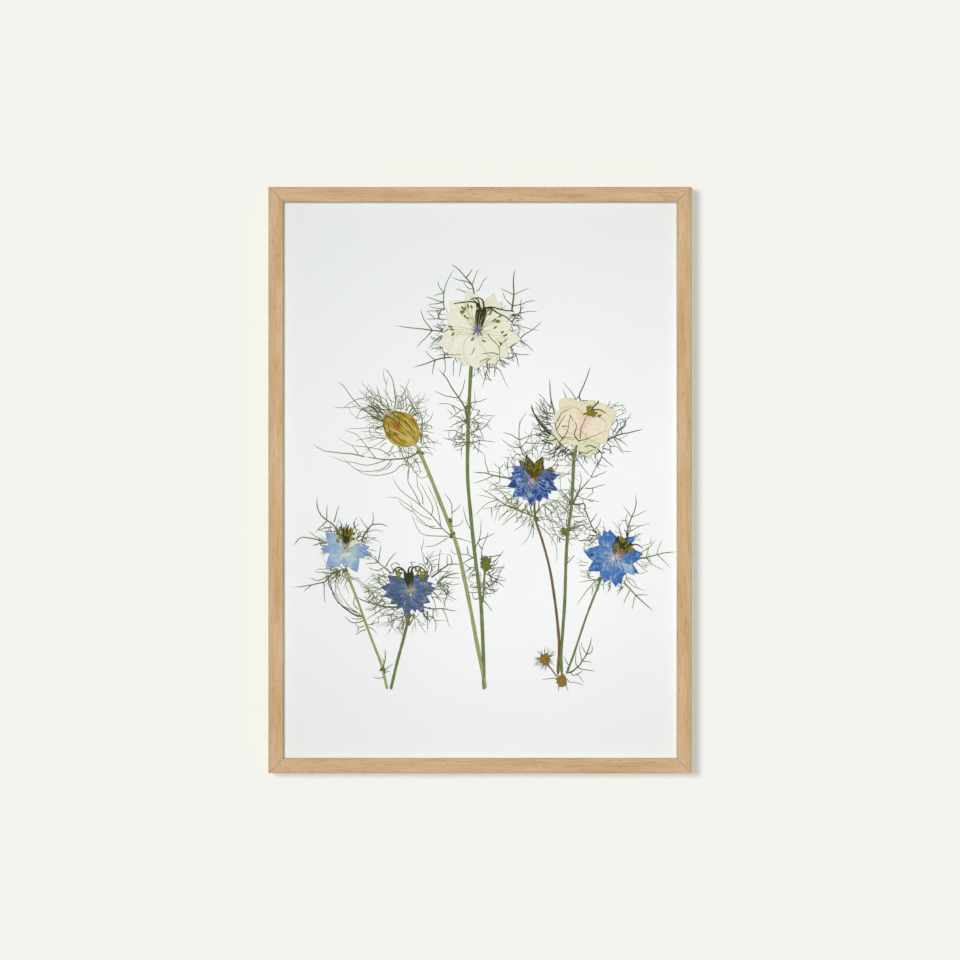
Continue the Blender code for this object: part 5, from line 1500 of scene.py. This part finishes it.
CREAM = (
    Part("cream_stem", "stem_green", (
        Stem(1.6, "52,20 50.3,12 49.7,0 48.9,-14 46.9,-29 46,-43 45.3,-65 44,-84 43.3,-94 43.8,-104.2",
             Finish.GREEN_STEM, "50.2,13.5; 49,-12.5"),
        Knob((45.4, -27.6), (1.7, 1.9), 30, 14, 2.6, 1.0))),
    Part("cream_petals", "cream_petal", (Whorl((56, 32.5), Finish.CREAM_PETAL, (
        Petal((58.5, 12), 14, 0.85), Petal((36.2, 20.5), 10, 0.8), Petal((61, 43), 9, 0.7),
        Petal((42, 43), 10, 0.6), Petal((73, 35.8), 10, 0.5), Petal((48, 18.8), 12, 0.4),
        Petal((68, 40), 9, 0.3), Petal((67.5, 20), 12, 0.4), Petal((50.5, 42), 11, 0.7),
        Petal((38.6, 33.5), 12, 0.4), Petal((70.5, 28.5), 11, 0.2), Petal((39.5, 26), 13, 0.1),
        Petal((57, 41), 7, 0.5), Petal((66.5, 24), 14), Petal((43, 31), 14)),
        claw=0.5, widest=0.6, shoulder=2.1),)),
    Part("cream_bracts", "leaf_thread", (Threads(
        "55,41 53,45 56,52 59.5,61; 40.5,27 40,35 38,43 37.3,49 37,54.5;"
        "38,26 35,28 31.5,32 28.5,36 27.3,40.5; 67,21 71,23 75.5,24.5 81,25.5 87.5,27.5; 52,16 53,19 54,21;"
        "63,16.5 65,14.5 67,14.8; 53,20 60,20 67,20.6 71,23",
        "53,45 51,42.5 50.5,39; 51.5,43 48,48 44,53; 47.3,41 46,44.5 44,48.5; 38,38.5 33,44.5 30.5,46.5;"
        "38,34 34.5,36 31,40 29,42.5; 34.5,36.5 32,44; 36,25.5 32,26.5 29,28.5 27,31; 38,22 33,23.5 28,24.3;"
        "20.8,22 21,28 22.5,33 25,36.5; 71.5,23 75,27 78,31 81,36; 75.7,24.5 75,31.5; 72,23 79.5,18;"
        "71.5,22.5 74,19 76.5,15.5 81.5,15; 67,21 70,18 73,18 77,13.5; 69.5,18.5 69.5,13.5;"
        "65,12.5 68,10 71.5,6.5; 63,17 65,12.5 59.5,2; 63,17 63,19 67,20.5; 52,18 55,15.5 60,15.5 63,17;"
        "50,14 45,18 42,20.5; 43,18 37,15 33,14.5; 43,17.5 38,14 33,13.3; 50,14 46,13 45.5,10.5 48,9;"
        "48,19.5 50,17 49,15; 42,21 38,20 34,20; 44,20.5 47,20 51,20; 38,30 35,29.5 33,31 35,33;"
        "37,33 34,33.5 33,32; 38,36 35.5,35.5 34,37.5; 39,28 36,30 34,29; 40,24 37,24.5 35,27;"
        "39,22 37,21 36.5,23; 36,28 33,30 31,34; 37,37 38,41 37.5,46; 34,33 31.5,36 30,40;"
        "46,17 44,14 44.5,12; 49,15 47,13 48,11 50,10; 42,19 43.5,16.5 46,16; 52,17 54.5,17.5 55,14;"
        "54,17 56,14.5; 65,21 67,23.5 68.5,26.5; 69,28 71,30 73,33; 71,24 71.5,28; 67,19 65.5,17 66.5,14;"
        "55,42.5 61,42; 41,19 39.5,16 36,15; 66,22 64.5,24.5",
        "44,22 41,26.5 40,31; 41,27 43.5,31.5 46,35.5; 44.5,22.5 47,27 48,35; 41,31 44,36 49,38.5;"
        "53,21 57,22 62,24 67,26.5; 44.5,22.5 43,21 41.5,20; 48,35 50,31; 44,28.5 46,29 47.5,28;"
        "44,23 48,22.8 50,22; 53.5,22 54,28 56.5,33 57.5,35.5; 53,15 57,14.5 61,16.5;"
        "42.5,20 45,17.5 49,16"),
        Threads("38,24.2 35.5,26.2 30.7,32 28.6,36 27.3,40.5",
                "31,30 33,26 36.5,23.5 39,21; 29.5,35 32,31.5 34.5,31 37,29; 33,21 36,20 39.5,18.5;"
                "37,30 35.5,33 36,37.5; 39.5,22 37,19 36.5,16.5 33.5,17; 42,18 40,15 37,13;"
                "45,16 42.5,14.5 42,11.5; 31.5,24 34,24.5 37,22.5; 43,16 47,14 50.5,13.5;"
                "66,17 69,16 71,13.5; 64,15.5 61.5,13 62,10; 57,14 56,11.5 57.5,8.5; 74,27 77,28.5 78,33;"
                "72,26 73.5,30 72.5,34; 47,16 44.5,13.5 40,12.5; 36,38 34,40 34.5,44",
                "35.5,26.5 38.5,24.3 41,21.8 44.2,17 46.5,14.5; 40.9,22 37.5,21 35,21.5;"
                "53,20.5 50.5,24 51.5,28 50.5,32; 62,17 58.5,18.5 55.5,17.5", Finish.DARK_THREAD,
                1.05, 0.62),
        Tangle((53, 29), 15, 30, 26, (145, 235), Finish.DARK_THREAD),
        Tangle((54, 29), 13, 27, 24, (235, 340), Finish.DARK_THREAD),
        Tangle((56, 30), 16, 27, 9, (-20, 40), Finish.DARK_THREAD))),
    Part("cream_pistil", "pistil", (
        Pistil((57.5, 36), (), "59,37 61,39.5 63.3,42; 60,37.5 64,37.5 67,36; 59.5,37.2 60.5,39 62.5,40.5;"
            "63,41 63.2,42.6",
               "58,38; 58.6,39; 57.6,37; 59.6,38.2; 60.4,37; 61.4,36; 60.6,35.2; 59.4,35.4; 58.4,36;"
               "57.4,38.6; 61.8,35.4; 58.8,34.6; 60,34.4; 61,34.6; 57.6,35.2; 64,34.6; 63.6,34; 56.2,35.4;"
               "59,36.8; 60.2,36", False),)),
    Part("cream_leaves", "leaf_thread", (Threads(
        "49.5,-13 51.5,-9 54,-5 57,-1.5 59.3,1.5;"
        "50,-13 53,-13 56,-12.7 56.2,-16 58,-20 60,-25 63,-30 65,-33",
        "59.3,1.5 62.5,8 65,12.5; 59.3,1.5 62,2 68,5; 50.5,13 54,8 59.3,1.5; 56,-4.3 60,-4.3 67.5,-2;"
        "51.5,-9 53.5,-4 54,0 53,5.5; 52,-8.5 55,-9.8 58,-10.5 65,-11.7; 60,-4.5 60,-7 56.5,-10;"
        "52.5,-13 53.5,-17.5; 59.3,-22.5 62.8,-17.5; 61.5,-26.5 63.5,-24 64.5,-20; 49.5,-19.5 57.5,-19.5;"
        "46,-26.5 50,-26 54,-24.5 59,-23; 46,-27 49,-27 51,-29 53,-33; 46.5,-32 50,-31 54,-28;"
        "53,-32.5 58,-32 61,-31; 49,-13 46,-10.5 41,-5; 48.5,-12 45,-7 42,-5.5;"
        "48.5,-19.5 45,-15 41.5,-11.5 38,-11; 45.5,-26 42,-23.5 37,-20; 49.5,-4 47,1.5;"
        "45.5,-32 42.5,-31 40,-28 38,-20; 42.3,-31 42.5,-33.5; 46,-45 51,-40; 46,-43 48,-41;"
        "49,-7 46,-5 42,-6; 49,-9 47,-7 44,-9.5; 58,-10.5 59.5,-11.5 61,-11; 55,-9.8 55,-13;"
        "61.5,-27 64,-29 66,-31; 60,-24.5 57,-26 56,-29; 51,-22 57,-23; 50.5,-24.5 50.3,-21; 62,-31 64,-28;"
        "44,-26 42,-28.5; 50,-4 52,-8.5 50,-11"),
        Tangle((46, -27), 2, 15, 20), Tangle((49, -13), 2, 14, 20))),
)

SKY = (
    Part("sky_stem", "stem_green", (
        Stem(1.05, "66,-50 61.5,-61 56.5,-74 50.5,-92 46.3,-103.6", Finish.GREEN_STEM, "64,-53"),)),
    Part("sky_petals", "sky_petal", (Whorl((72.3, -41), Finish.SKY_PETAL, (
        Petal((82.7, -30), 7, 0.2), Petal((85, -50.2), 5.5, 0.9), Petal((62.2, -29), 7, 0.3),
        Petal((75.5, -56), 7, 0.9), Petal((58, -48.8), 9, 0.7), Petal((66, -55), 9, 0.2),
        Petal((87.2, -39.8), 8, 0.7), Petal((72.4, -57.2), 9, 0.6), Petal((65.8, -26.7), 8, 0.2),
        Petal((82.6, -50.8), 8, 0.0, Finish.PALE_PETAL), Petal((55.3, -38), 10, 0.3),
        Petal((64, -52), 10, 0.1), Petal((69.2, -26.4), 8, 0.4), Petal((70, -54), 10, 0.15),
        Petal((86, -42), 6, 0.5), Petal((74, -29.5), 5, 0.2, Finish.GREENED_PETAL)),
        widest=0.56, shoulder=1.15, claw=0.3),
        Whorl((72.5, -41.2), Finish.PALE_PETAL, (Petal((64.5, -33), 2.6, 0.0),), claw=0.5, widest=0.5))),
    Part("sky_bracts", "leaf_thread", (Threads(
        "78.8,-30 79,-26 80,-23 81,-20 82.7,-16 83.3,-12 83,-7.5; 85,-42 89,-41.3 94,-40 99,-39 105,-38.5;"
        "77,-55 80,-58 83.5,-62 88,-66 93,-70",
        "81,-20 79,-17 76.5,-13.5; 81.2,-19.8 85,-18.3 89.5,-16; 79.5,-24.5 85,-24.5 91.5,-23;"
        "80,-27.5 87,-24; 79,-25.5 78,-22 78.7,-17.5; 78,-21.7 75,-21.5; 75.5,-30 74.5,-27 71,-21.5;"
        "94.5,-40 95.5,-36 97.5,-31.5; 95,-40 98,-43 102,-47; 89,-41.3 90,-37 93.8,-32;"
        "89,-42 93,-45.5 98.5,-48.5; 86,-39 90,-36; 83,-43.5 86,-46 90,-49.5; 83.5,-61.5 90.5,-61.3;"
        "83,-62 81,-69.5; 80,-59 76.5,-66.5; 78,-52 81,-56 84,-57.5 88.5,-59.5; 76,-56.5 73.3,-62;"
        "64.5,-53 60,-53 53,-50.8; 62,-53.5 57,-54 52.5,-54.5; 64,-52.5 61.5,-54 57,-59.5 51.5,-67;"
        "59,-53 57.5,-49.5; 60,-57 60,-62; 64,-55 63,-60; 66,-56 66,-59; 69,-55 69.5,-58; 77,-57 73,-60;"
        "78,-50 78,-53 76,-56; 79,-52 82,-54 84,-58; 76,-29 74,-28 72,-27.5; 84,-41 82,-44",
        finish=Finish.PALE_THREAD),
        Threads("", "61,-27 57,-26 55,-24; 62,-30 59,-29.5 57,-31.5; 63,-31 60,-33 58,-36;"
                "61,-31.5 58,-31 54,-32.5; 62,-28.5 59.5,-26.5; 60,-30.5 58.5,-33; 64,-29 61,-30 58,-29",
                finish=Finish.DARK_THREAD),
        Tangle((70, -42), 13, 21, 34, (100, 300), Finish.PALE_THREAD),
        Tangle((74, -41), 13, 22, 16, (-60, 100), Finish.PALE_THREAD))),
    Part("sky_pistil", "pistil", (
        Pistil((75, -39), ((76.6, -40, 78.2, -30.5, 1.7), (77.6, -39.4, 80.4, -33.5, 1.9),
            (76, -40, 76.2, -32.4, 1.5)),
               "80,-34.5 84,-34.5 87,-36.5; 78.5,-30 78.2,-28 77,-26.5; 73.4,-33 72,-30;"
               "78.6,-31 79.2,-28.6",
               "75.4,-30.6; 76.6,-31.6; 77.4,-32.8; 76,-32.6; 79,-34; 81,-36.6; 81.2,-38; 80,-38.6;"
               "79,-36.6; 78,-35; 75,-31.8; 80.4,-35.4; 81.6,-37.4; 77.8,-37.6", False),
        Pistil((75, -39), ((73.4, -40.4, 76.6, -36.6, 2.4), (74.6, -40.4, 77.4, -38.6, 2.2)),
               ovary_finish=Finish.RUST),
        Pistil((72.4, -41.4), hairs=30, hair_length=5.5, hair_finish=Finish.BLEACHED),
        Pistil((72.4, -41.4), hairs=22, hair_length=4.6, hair_finish=Finish.STYLE),
        Knob((60, -40.2), (0.9, 0.8), 6, 0, 0.0, 2.5, Finish.STYLE),
        Knob((72.6, -40.4), (1.4, 1.0), 9, 0, 0.0, 2.6, Finish.BLUSH))),
)

BUDS = (
    Part("side_bud_stalk", "stem_green", (Stem(1.0, "2.7,-47 2.2,-54 1.85,-61 1.2,-66"),)),
    Part("side_bud", "bud", (
        Knob((3.1, -46.2), (2.3, 1.9), 40, 0, 0.0, 2.0),
        Knob((3.2, -44), (2.4, 1.8), 34, 34, 3.0, 2.2, Finish.BUD, Finish.DARK_THREAD, True))),
    Part("side_bud_leaves", "leaf_thread", (Threads(
        "",
        "-2.5,-36 -1,-33 0,-30 0.6,-25 0.5,-20.5; -1,-33 0.2,-31.8 3.5,-30.5 8.3,-28.5;"
        "1.5,-43 1,-42 1,-37 3.7,-30.5 4.5,-27; 1,-37 -1.5,-33; 5,-47 8,-43.5 11,-40 13,-37;"
        "11,-40 6,-41 0.5,-40.3; 4,-47.5 8,-47 14,-47; 2.3,-49 3,-50 9,-53 12.5,-54 14.5,-52.5;"
        "2,-58 4.5,-57 8.5,-54 10,-51 12,-47 13.3,-44; 8.5,-54 13,-57; 2.5,-58 9.5,-59.5;"
        "2,-61 4,-60.5 7,-60.5 10.5,-57; 4.5,-49 6,-53 6.8,-58; 2,-64.5 7,-70.5; -3,-50 -6,-53 -3,-56;"
        "-3,-48 -8,-53; -4,-56 -6,-57; 1.8,-57 -1,-57.5 -6,-57.5; 1.6,-60 -1,-60 -5,-60 -8,-58.5;"
        "1.6,-62 -0.5,-63 -3,-63.5 -4.5,-60; -3.5,-36 -4,-29 -6.5,-23.5 -8,-19 -9,-14;"
        "-3,-42 -6.5,-40 -10,-39.5 -14,-39.5 -16,-36.5; -4,-41.5 -10,-45; -3,-47 -6,-46.5 -9,-44.5;"
        "-5,-47 -8,-49.5; -6.3,-39.5 -7,-35; 5.5,-46 8,-45.5 10,-43; 3,-55 5,-56 8,-55.5",
        finish=Finish.DARK_THREAD),
        Tangle((2.6, -52), 2.5, 13, 26))),
    Part("base_crown", "stem_brown", (
        Knob((43.6, -107.3), (2.1, 2.9), 90, 0, 0, 0.95, Finish.RUSSET),)),
    Part("base_bud", "bud", (
        Knob((34.7, -95.8), (2.2, 2.2), 60, 46, 5.2, 2.0, Finish.RUSSET, Finish.PALE_THREAD),)),
    Part("base_bud_stalk", "stem_brown", (Stem(0.8, "35.5,-98 38.4,-101.4 41,-105", Finish.RUSSET),)),
    Part("base_leaf", "leaf_thread", (Threads(
        "46.5,-103 49,-102.5 52,-100 54.5,-97 57,-93 59,-88 59.8,-83.5",
        "57,-93 55,-90 54.2,-86.5; 56.5,-93.5 59.5,-92 60,-88; 54.5,-96.8 60,-97.5;"
        "54.5,-97 53.5,-92 53.3,-87.5; 52,-100 51,-97 51.5,-92; 52,-100 55,-101.3 62,-102;"
        "48.5,-103 50,-104.5 52,-104.3 56,-108.5; 51.5,-104 55,-102;"
        "44.5,-105.5 46,-106 48,-108 52,-108.5 56,-109.8; 44.5,-107 45,-108 47.5,-113;"
        "47.5,-99 46,-97 45,-94; 43,-106 38,-106 33,-107; 43,-108.5 42,-110 42,-113; 46,-103 47.5,-99"),)),
)


# ---- Frame, stage and the whole ----


@dataclass
class Fittings:
    """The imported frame, glass, sheets, spacers, tabs and hanger, each given its finish."""

    finishes: dict = field(default_factory=lambda: {
        Finish.OAK_X: ("frame_rail_top", "frame_rail_bottom"),
        Finish.OAK_Z: ("frame_stile_left", "frame_stile_right"),
        Finish.GLASS: ("glazing_pane",),
        Finish.CARD: ("mount_card", "spacer_top", "spacer_bottom", "spacer_left", "spacer_right"),
        Finish.BOARD: ("backing_board",),
        Finish.STEEL: ("tab_left_upper", "tab_left_lower", "tab_right_upper", "tab_right_lower",
                       "tab_top", "tab_bottom", "hanger", "hanger_rivet_left",
                       "hanger_rivet_right")})

    def dress(self) -> None:
        """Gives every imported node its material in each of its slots."""
        named = ((name, finish) for finish, names in self.finishes.items() for name in names)
        for name, finish in named:
            slots = bpy.data.objects[name].data.materials
            if not slots:
                slots.append(finish.material())
            for index in range(len(slots)):
                slots[index] = finish.material()
            LOG.info("%s: %s", name, finish.name)


@dataclass(frozen=True)
class Herbarium:
    """The plants, in the order that they were laid on the card."""

    seed: int = 20
    plants: tuple = (WHITE, CAPSULE, PALE, DUSK, ROYAL, CREAM, SKY, BUDS)

    def build(self, card: Card) -> list:
        """Builds every part of every plant.

        Args:
            card: what they are laid on.

        Returns:
            The finished pieces.
        """
        made = []
        for plant in self.plants:
            for part in plant:
                rng = np.random.default_rng([self.seed, *part.name.encode()])
                skins = [skin for maker in part.makers for skin in maker.skins(rng)]
                made.append(card.lay(part.name, skins, (part.name,)))
        return made


@dataclass(frozen=True)
class Sunbeam:
    """A far, even lamp in front of the wall.

    left and up are how far it stands from straight in front of the card, and angle is how wide
    it looks, all in degrees.
    """

    name: str
    left: float
    up: float
    strength: float
    angle: float

    def build(self, receivers: list) -> None:
        """Builds the lamp.

        Args:
            receivers: the only objects that it lights.
        """
        data = bpy.data.lights.new(self.name, "SUN")
        data.energy = self.strength
        data.angle = math.radians(self.angle)
        lamp = bpy.data.objects.new(self.name, data)
        x, y, z = -math.tan(math.radians(self.left)), -1.0, math.tan(math.radians(self.up))
        lamp.rotation_euler = (math.atan2(math.hypot(x, y), z), 0, math.atan2(x, -y))
        bpy.context.scene.collection.objects.link(lamp)
        group = bpy.data.collections.new(f"{self.name}_receiver")
        for member in receivers:
            group.objects.link(member)
        lamp.light_linking.receiver_collection = group
        lamp.visible_glossy = False
        lamp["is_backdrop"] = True


@dataclass(frozen=True)
class Studio:
    """A pale plastered wall behind the frame, a soft key from the upper left, and the camera.

    The card has a key of its own, nearer to the front, so that the frame's lip hardly shades it.
    Sizes and distances are in metres, the lens and its sensor in millimetres.
    """

    wall: str = "F2F3EE"
    wall_reach: float = 3.0
    wall_gap: float = 0.4 * MM
    plaster_scale: float = 900.0
    flag_reach: float = 4.0
    flag_place: float = -3.5
    key: Sunbeam = Sunbeam("key", 13.5, 6.0, 1.32, 12.0)
    card_key: Sunbeam = Sunbeam("card_key", 4.0, 2.5, 3.0, 12.0)
    fill: Sunbeam = Sunbeam("front_fill", 0.0, 0.0, 1.5, 3.0)
    ambient: float = 0.12
    rear_size: float = 2.0
    rear_power: float = 14.0
    rear_away: float = 1.0
    lens: float = 400.0
    sensor: float = 36.0
    picture_width: float = 0.5126

    def build(self, plants: list) -> None:
        """Builds the wall, the lamps and the camera round the frame.

        Args:
            plants: the pieces that lie on the card.
        """
        low, high = CAD_BOX
        centre = [(low[i] + high[i]) / 2 for i in range(3)]
        wall = self.hang_wall(high[1], centre)
        self.hang_flag(centre)
        self.light(wall, plants)
        self.light_back()
        self.set_camera(centre[0], low[1], centre[2])

    def set_camera(self, x: float, front: float, z: float) -> None:
        """Aims the camera straight at the frame, so far away that the picture has its width.

        Args:
            x: the middle of the frame from left to right.
            front: the plane of the frame's face.
            z: the middle of the frame's height.
        """
        data = bpy.data.cameras.new("camera")
        data.lens = self.lens
        data.sensor_width = self.sensor
        camera = bpy.data.objects.new("camera", data)
        camera.location = (x, front - self.picture_width * self.lens / self.sensor, z)
        camera.rotation_euler = (math.pi / 2, 0, 0)
        bpy.context.scene.collection.objects.link(camera)
        bpy.context.scene.camera = camera
        bpy.context.scene.view_settings.view_transform = "Standard"

    def square(self, name: str, reach: float, y: float, centre: list, turned: bool,
               material: bpy.types.Material) -> bpy.types.Object:
        """Builds an upright square that faces the viewer, or away when turned.

        Args:
            name: its name.
            reach: half its width.
            y: its plane.
            centre: the frame's centre, which it is level with.
            turned: whether it faces away.
            material: its material.

        Returns:
            The square, on the stage.
        """
        signs = ((-1, -1), (1, -1), (1, 1), (-1, 1))
        corners = [(centre[0] + sx * reach, y, centre[2] + sz * reach) for sx, sz in signs]
        mesh = bpy.data.meshes.new(name)
        mesh.from_pydata(corners, [], [(3, 2, 1, 0) if turned else (0, 1, 2, 3)])
        mesh.materials.append(material)
        made = bpy.data.objects.new(name, mesh)
        bpy.context.scene.collection.objects.link(made)
        made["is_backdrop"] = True
        return made

    def hang_wall(self, back: float, centre: list) -> bpy.types.Object:
        """Builds the wall, seen from its front only, so that it never hides the frame's back.

        Args:
            back: the plane of the frame's back.
            centre: the frame's centre.

        Returns:
            The wall.
        """
        graph = Graph("smooth_wall_plaster")
        grain = graph.node("ShaderNodeTexNoise", {"Vector": graph.place,
                                                  "Scale": self.plaster_scale, "Detail": 3.0})
        bump = graph.node("ShaderNodeBump", {"Height": grain.outputs[0], "Strength": 0.05,
                                             "Distance": 0.2 * MM})
        plaster = graph.node("ShaderNodeBsdfDiffuse", {"Color": linear(self.wall),
                                                       "Normal": bump.outputs[0]})
        clear = graph.node("ShaderNodeBsdfTransparent")
        facing = graph.node("ShaderNodeNewGeometry").outputs["Backfacing"]
        graph.end(graph.node("ShaderNodeMixShader", {0: facing, 1: plaster.outputs[0],
                                                     2: clear.outputs[0]}).outputs[0])
        wall = self.square("wall", self.wall_reach, back + self.wall_gap, centre, False,
                           graph.material)
        wall.visible_shadow = False
        wall.visible_diffuse = False
        return wall

    def hang_flag(self, centre: list) -> None:
        """Builds the black cloth behind the camera, which keeps the glass free of glare."""
        graph = Graph("black_velvet")
        graph.principled(linear("141414"), Roughness=1.0, Specular_IOR_Level=0.0)
        flag = self.square("flag", self.flag_reach, self.flag_place, centre, True, graph.material)
        flag.visible_camera = flag.visible_diffuse = flag.visible_shadow = False
        flag.visible_transmission = False

    def light(self, wall: bpy.types.Object, plants: list) -> None:
        """Builds the lamps in front and the even light of the room.

        Args:
            wall: the wall behind the frame.
            plants: the pieces that lie on the card.
        """
        world = bpy.data.worlds.new("room")
        world.use_nodes = True
        background = world.node_tree.nodes["Background"]
        background.inputs["Color"].default_value = (1, 1, 1, 1)
        background.inputs["Strength"].default_value = self.ambient
        bpy.context.scene.world = world
        inside = {"mount_card", "glazing_pane", "spacer_top", "spacer_bottom", "spacer_left",
                  "spacer_right"}
        fittings = [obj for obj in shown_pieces() if obj not in plants and obj.name not in inside]
        self.key.build(fittings + [wall])
        self.card_key.build([bpy.data.objects["mount_card"], *plants])
        self.fill.build(fittings + [wall])

    def light_back(self) -> None:
        """Builds one broad soft lamp behind the wall, for views of the back and the edges."""
        data = bpy.data.lights.new("rear_fill", "AREA")
        data.shape = "SQUARE"
        data.size = self.rear_size
        data.energy = self.rear_power
        lamp = bpy.data.objects.new("rear_fill", data)
        lamp.location = (0, self.rear_away, (CAD_BOX[0][2] + CAD_BOX[1][2]) / 2)
        lamp.rotation_euler = (-math.pi / 2, 0, 0)
        bpy.context.scene.collection.objects.link(lamp)
        lamp.visible_camera = False
        lamp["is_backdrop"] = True


def main() -> None:
    """Builds the framed flowers, then the room that they are seen in."""
    logging.basicConfig(level=logging.INFO, format="%(name)s %(message)s")
    Fittings().dress()
    plants = Herbarium().build(Card())
    Studio().build(plants)


if __name__ == "__main__":
    main()
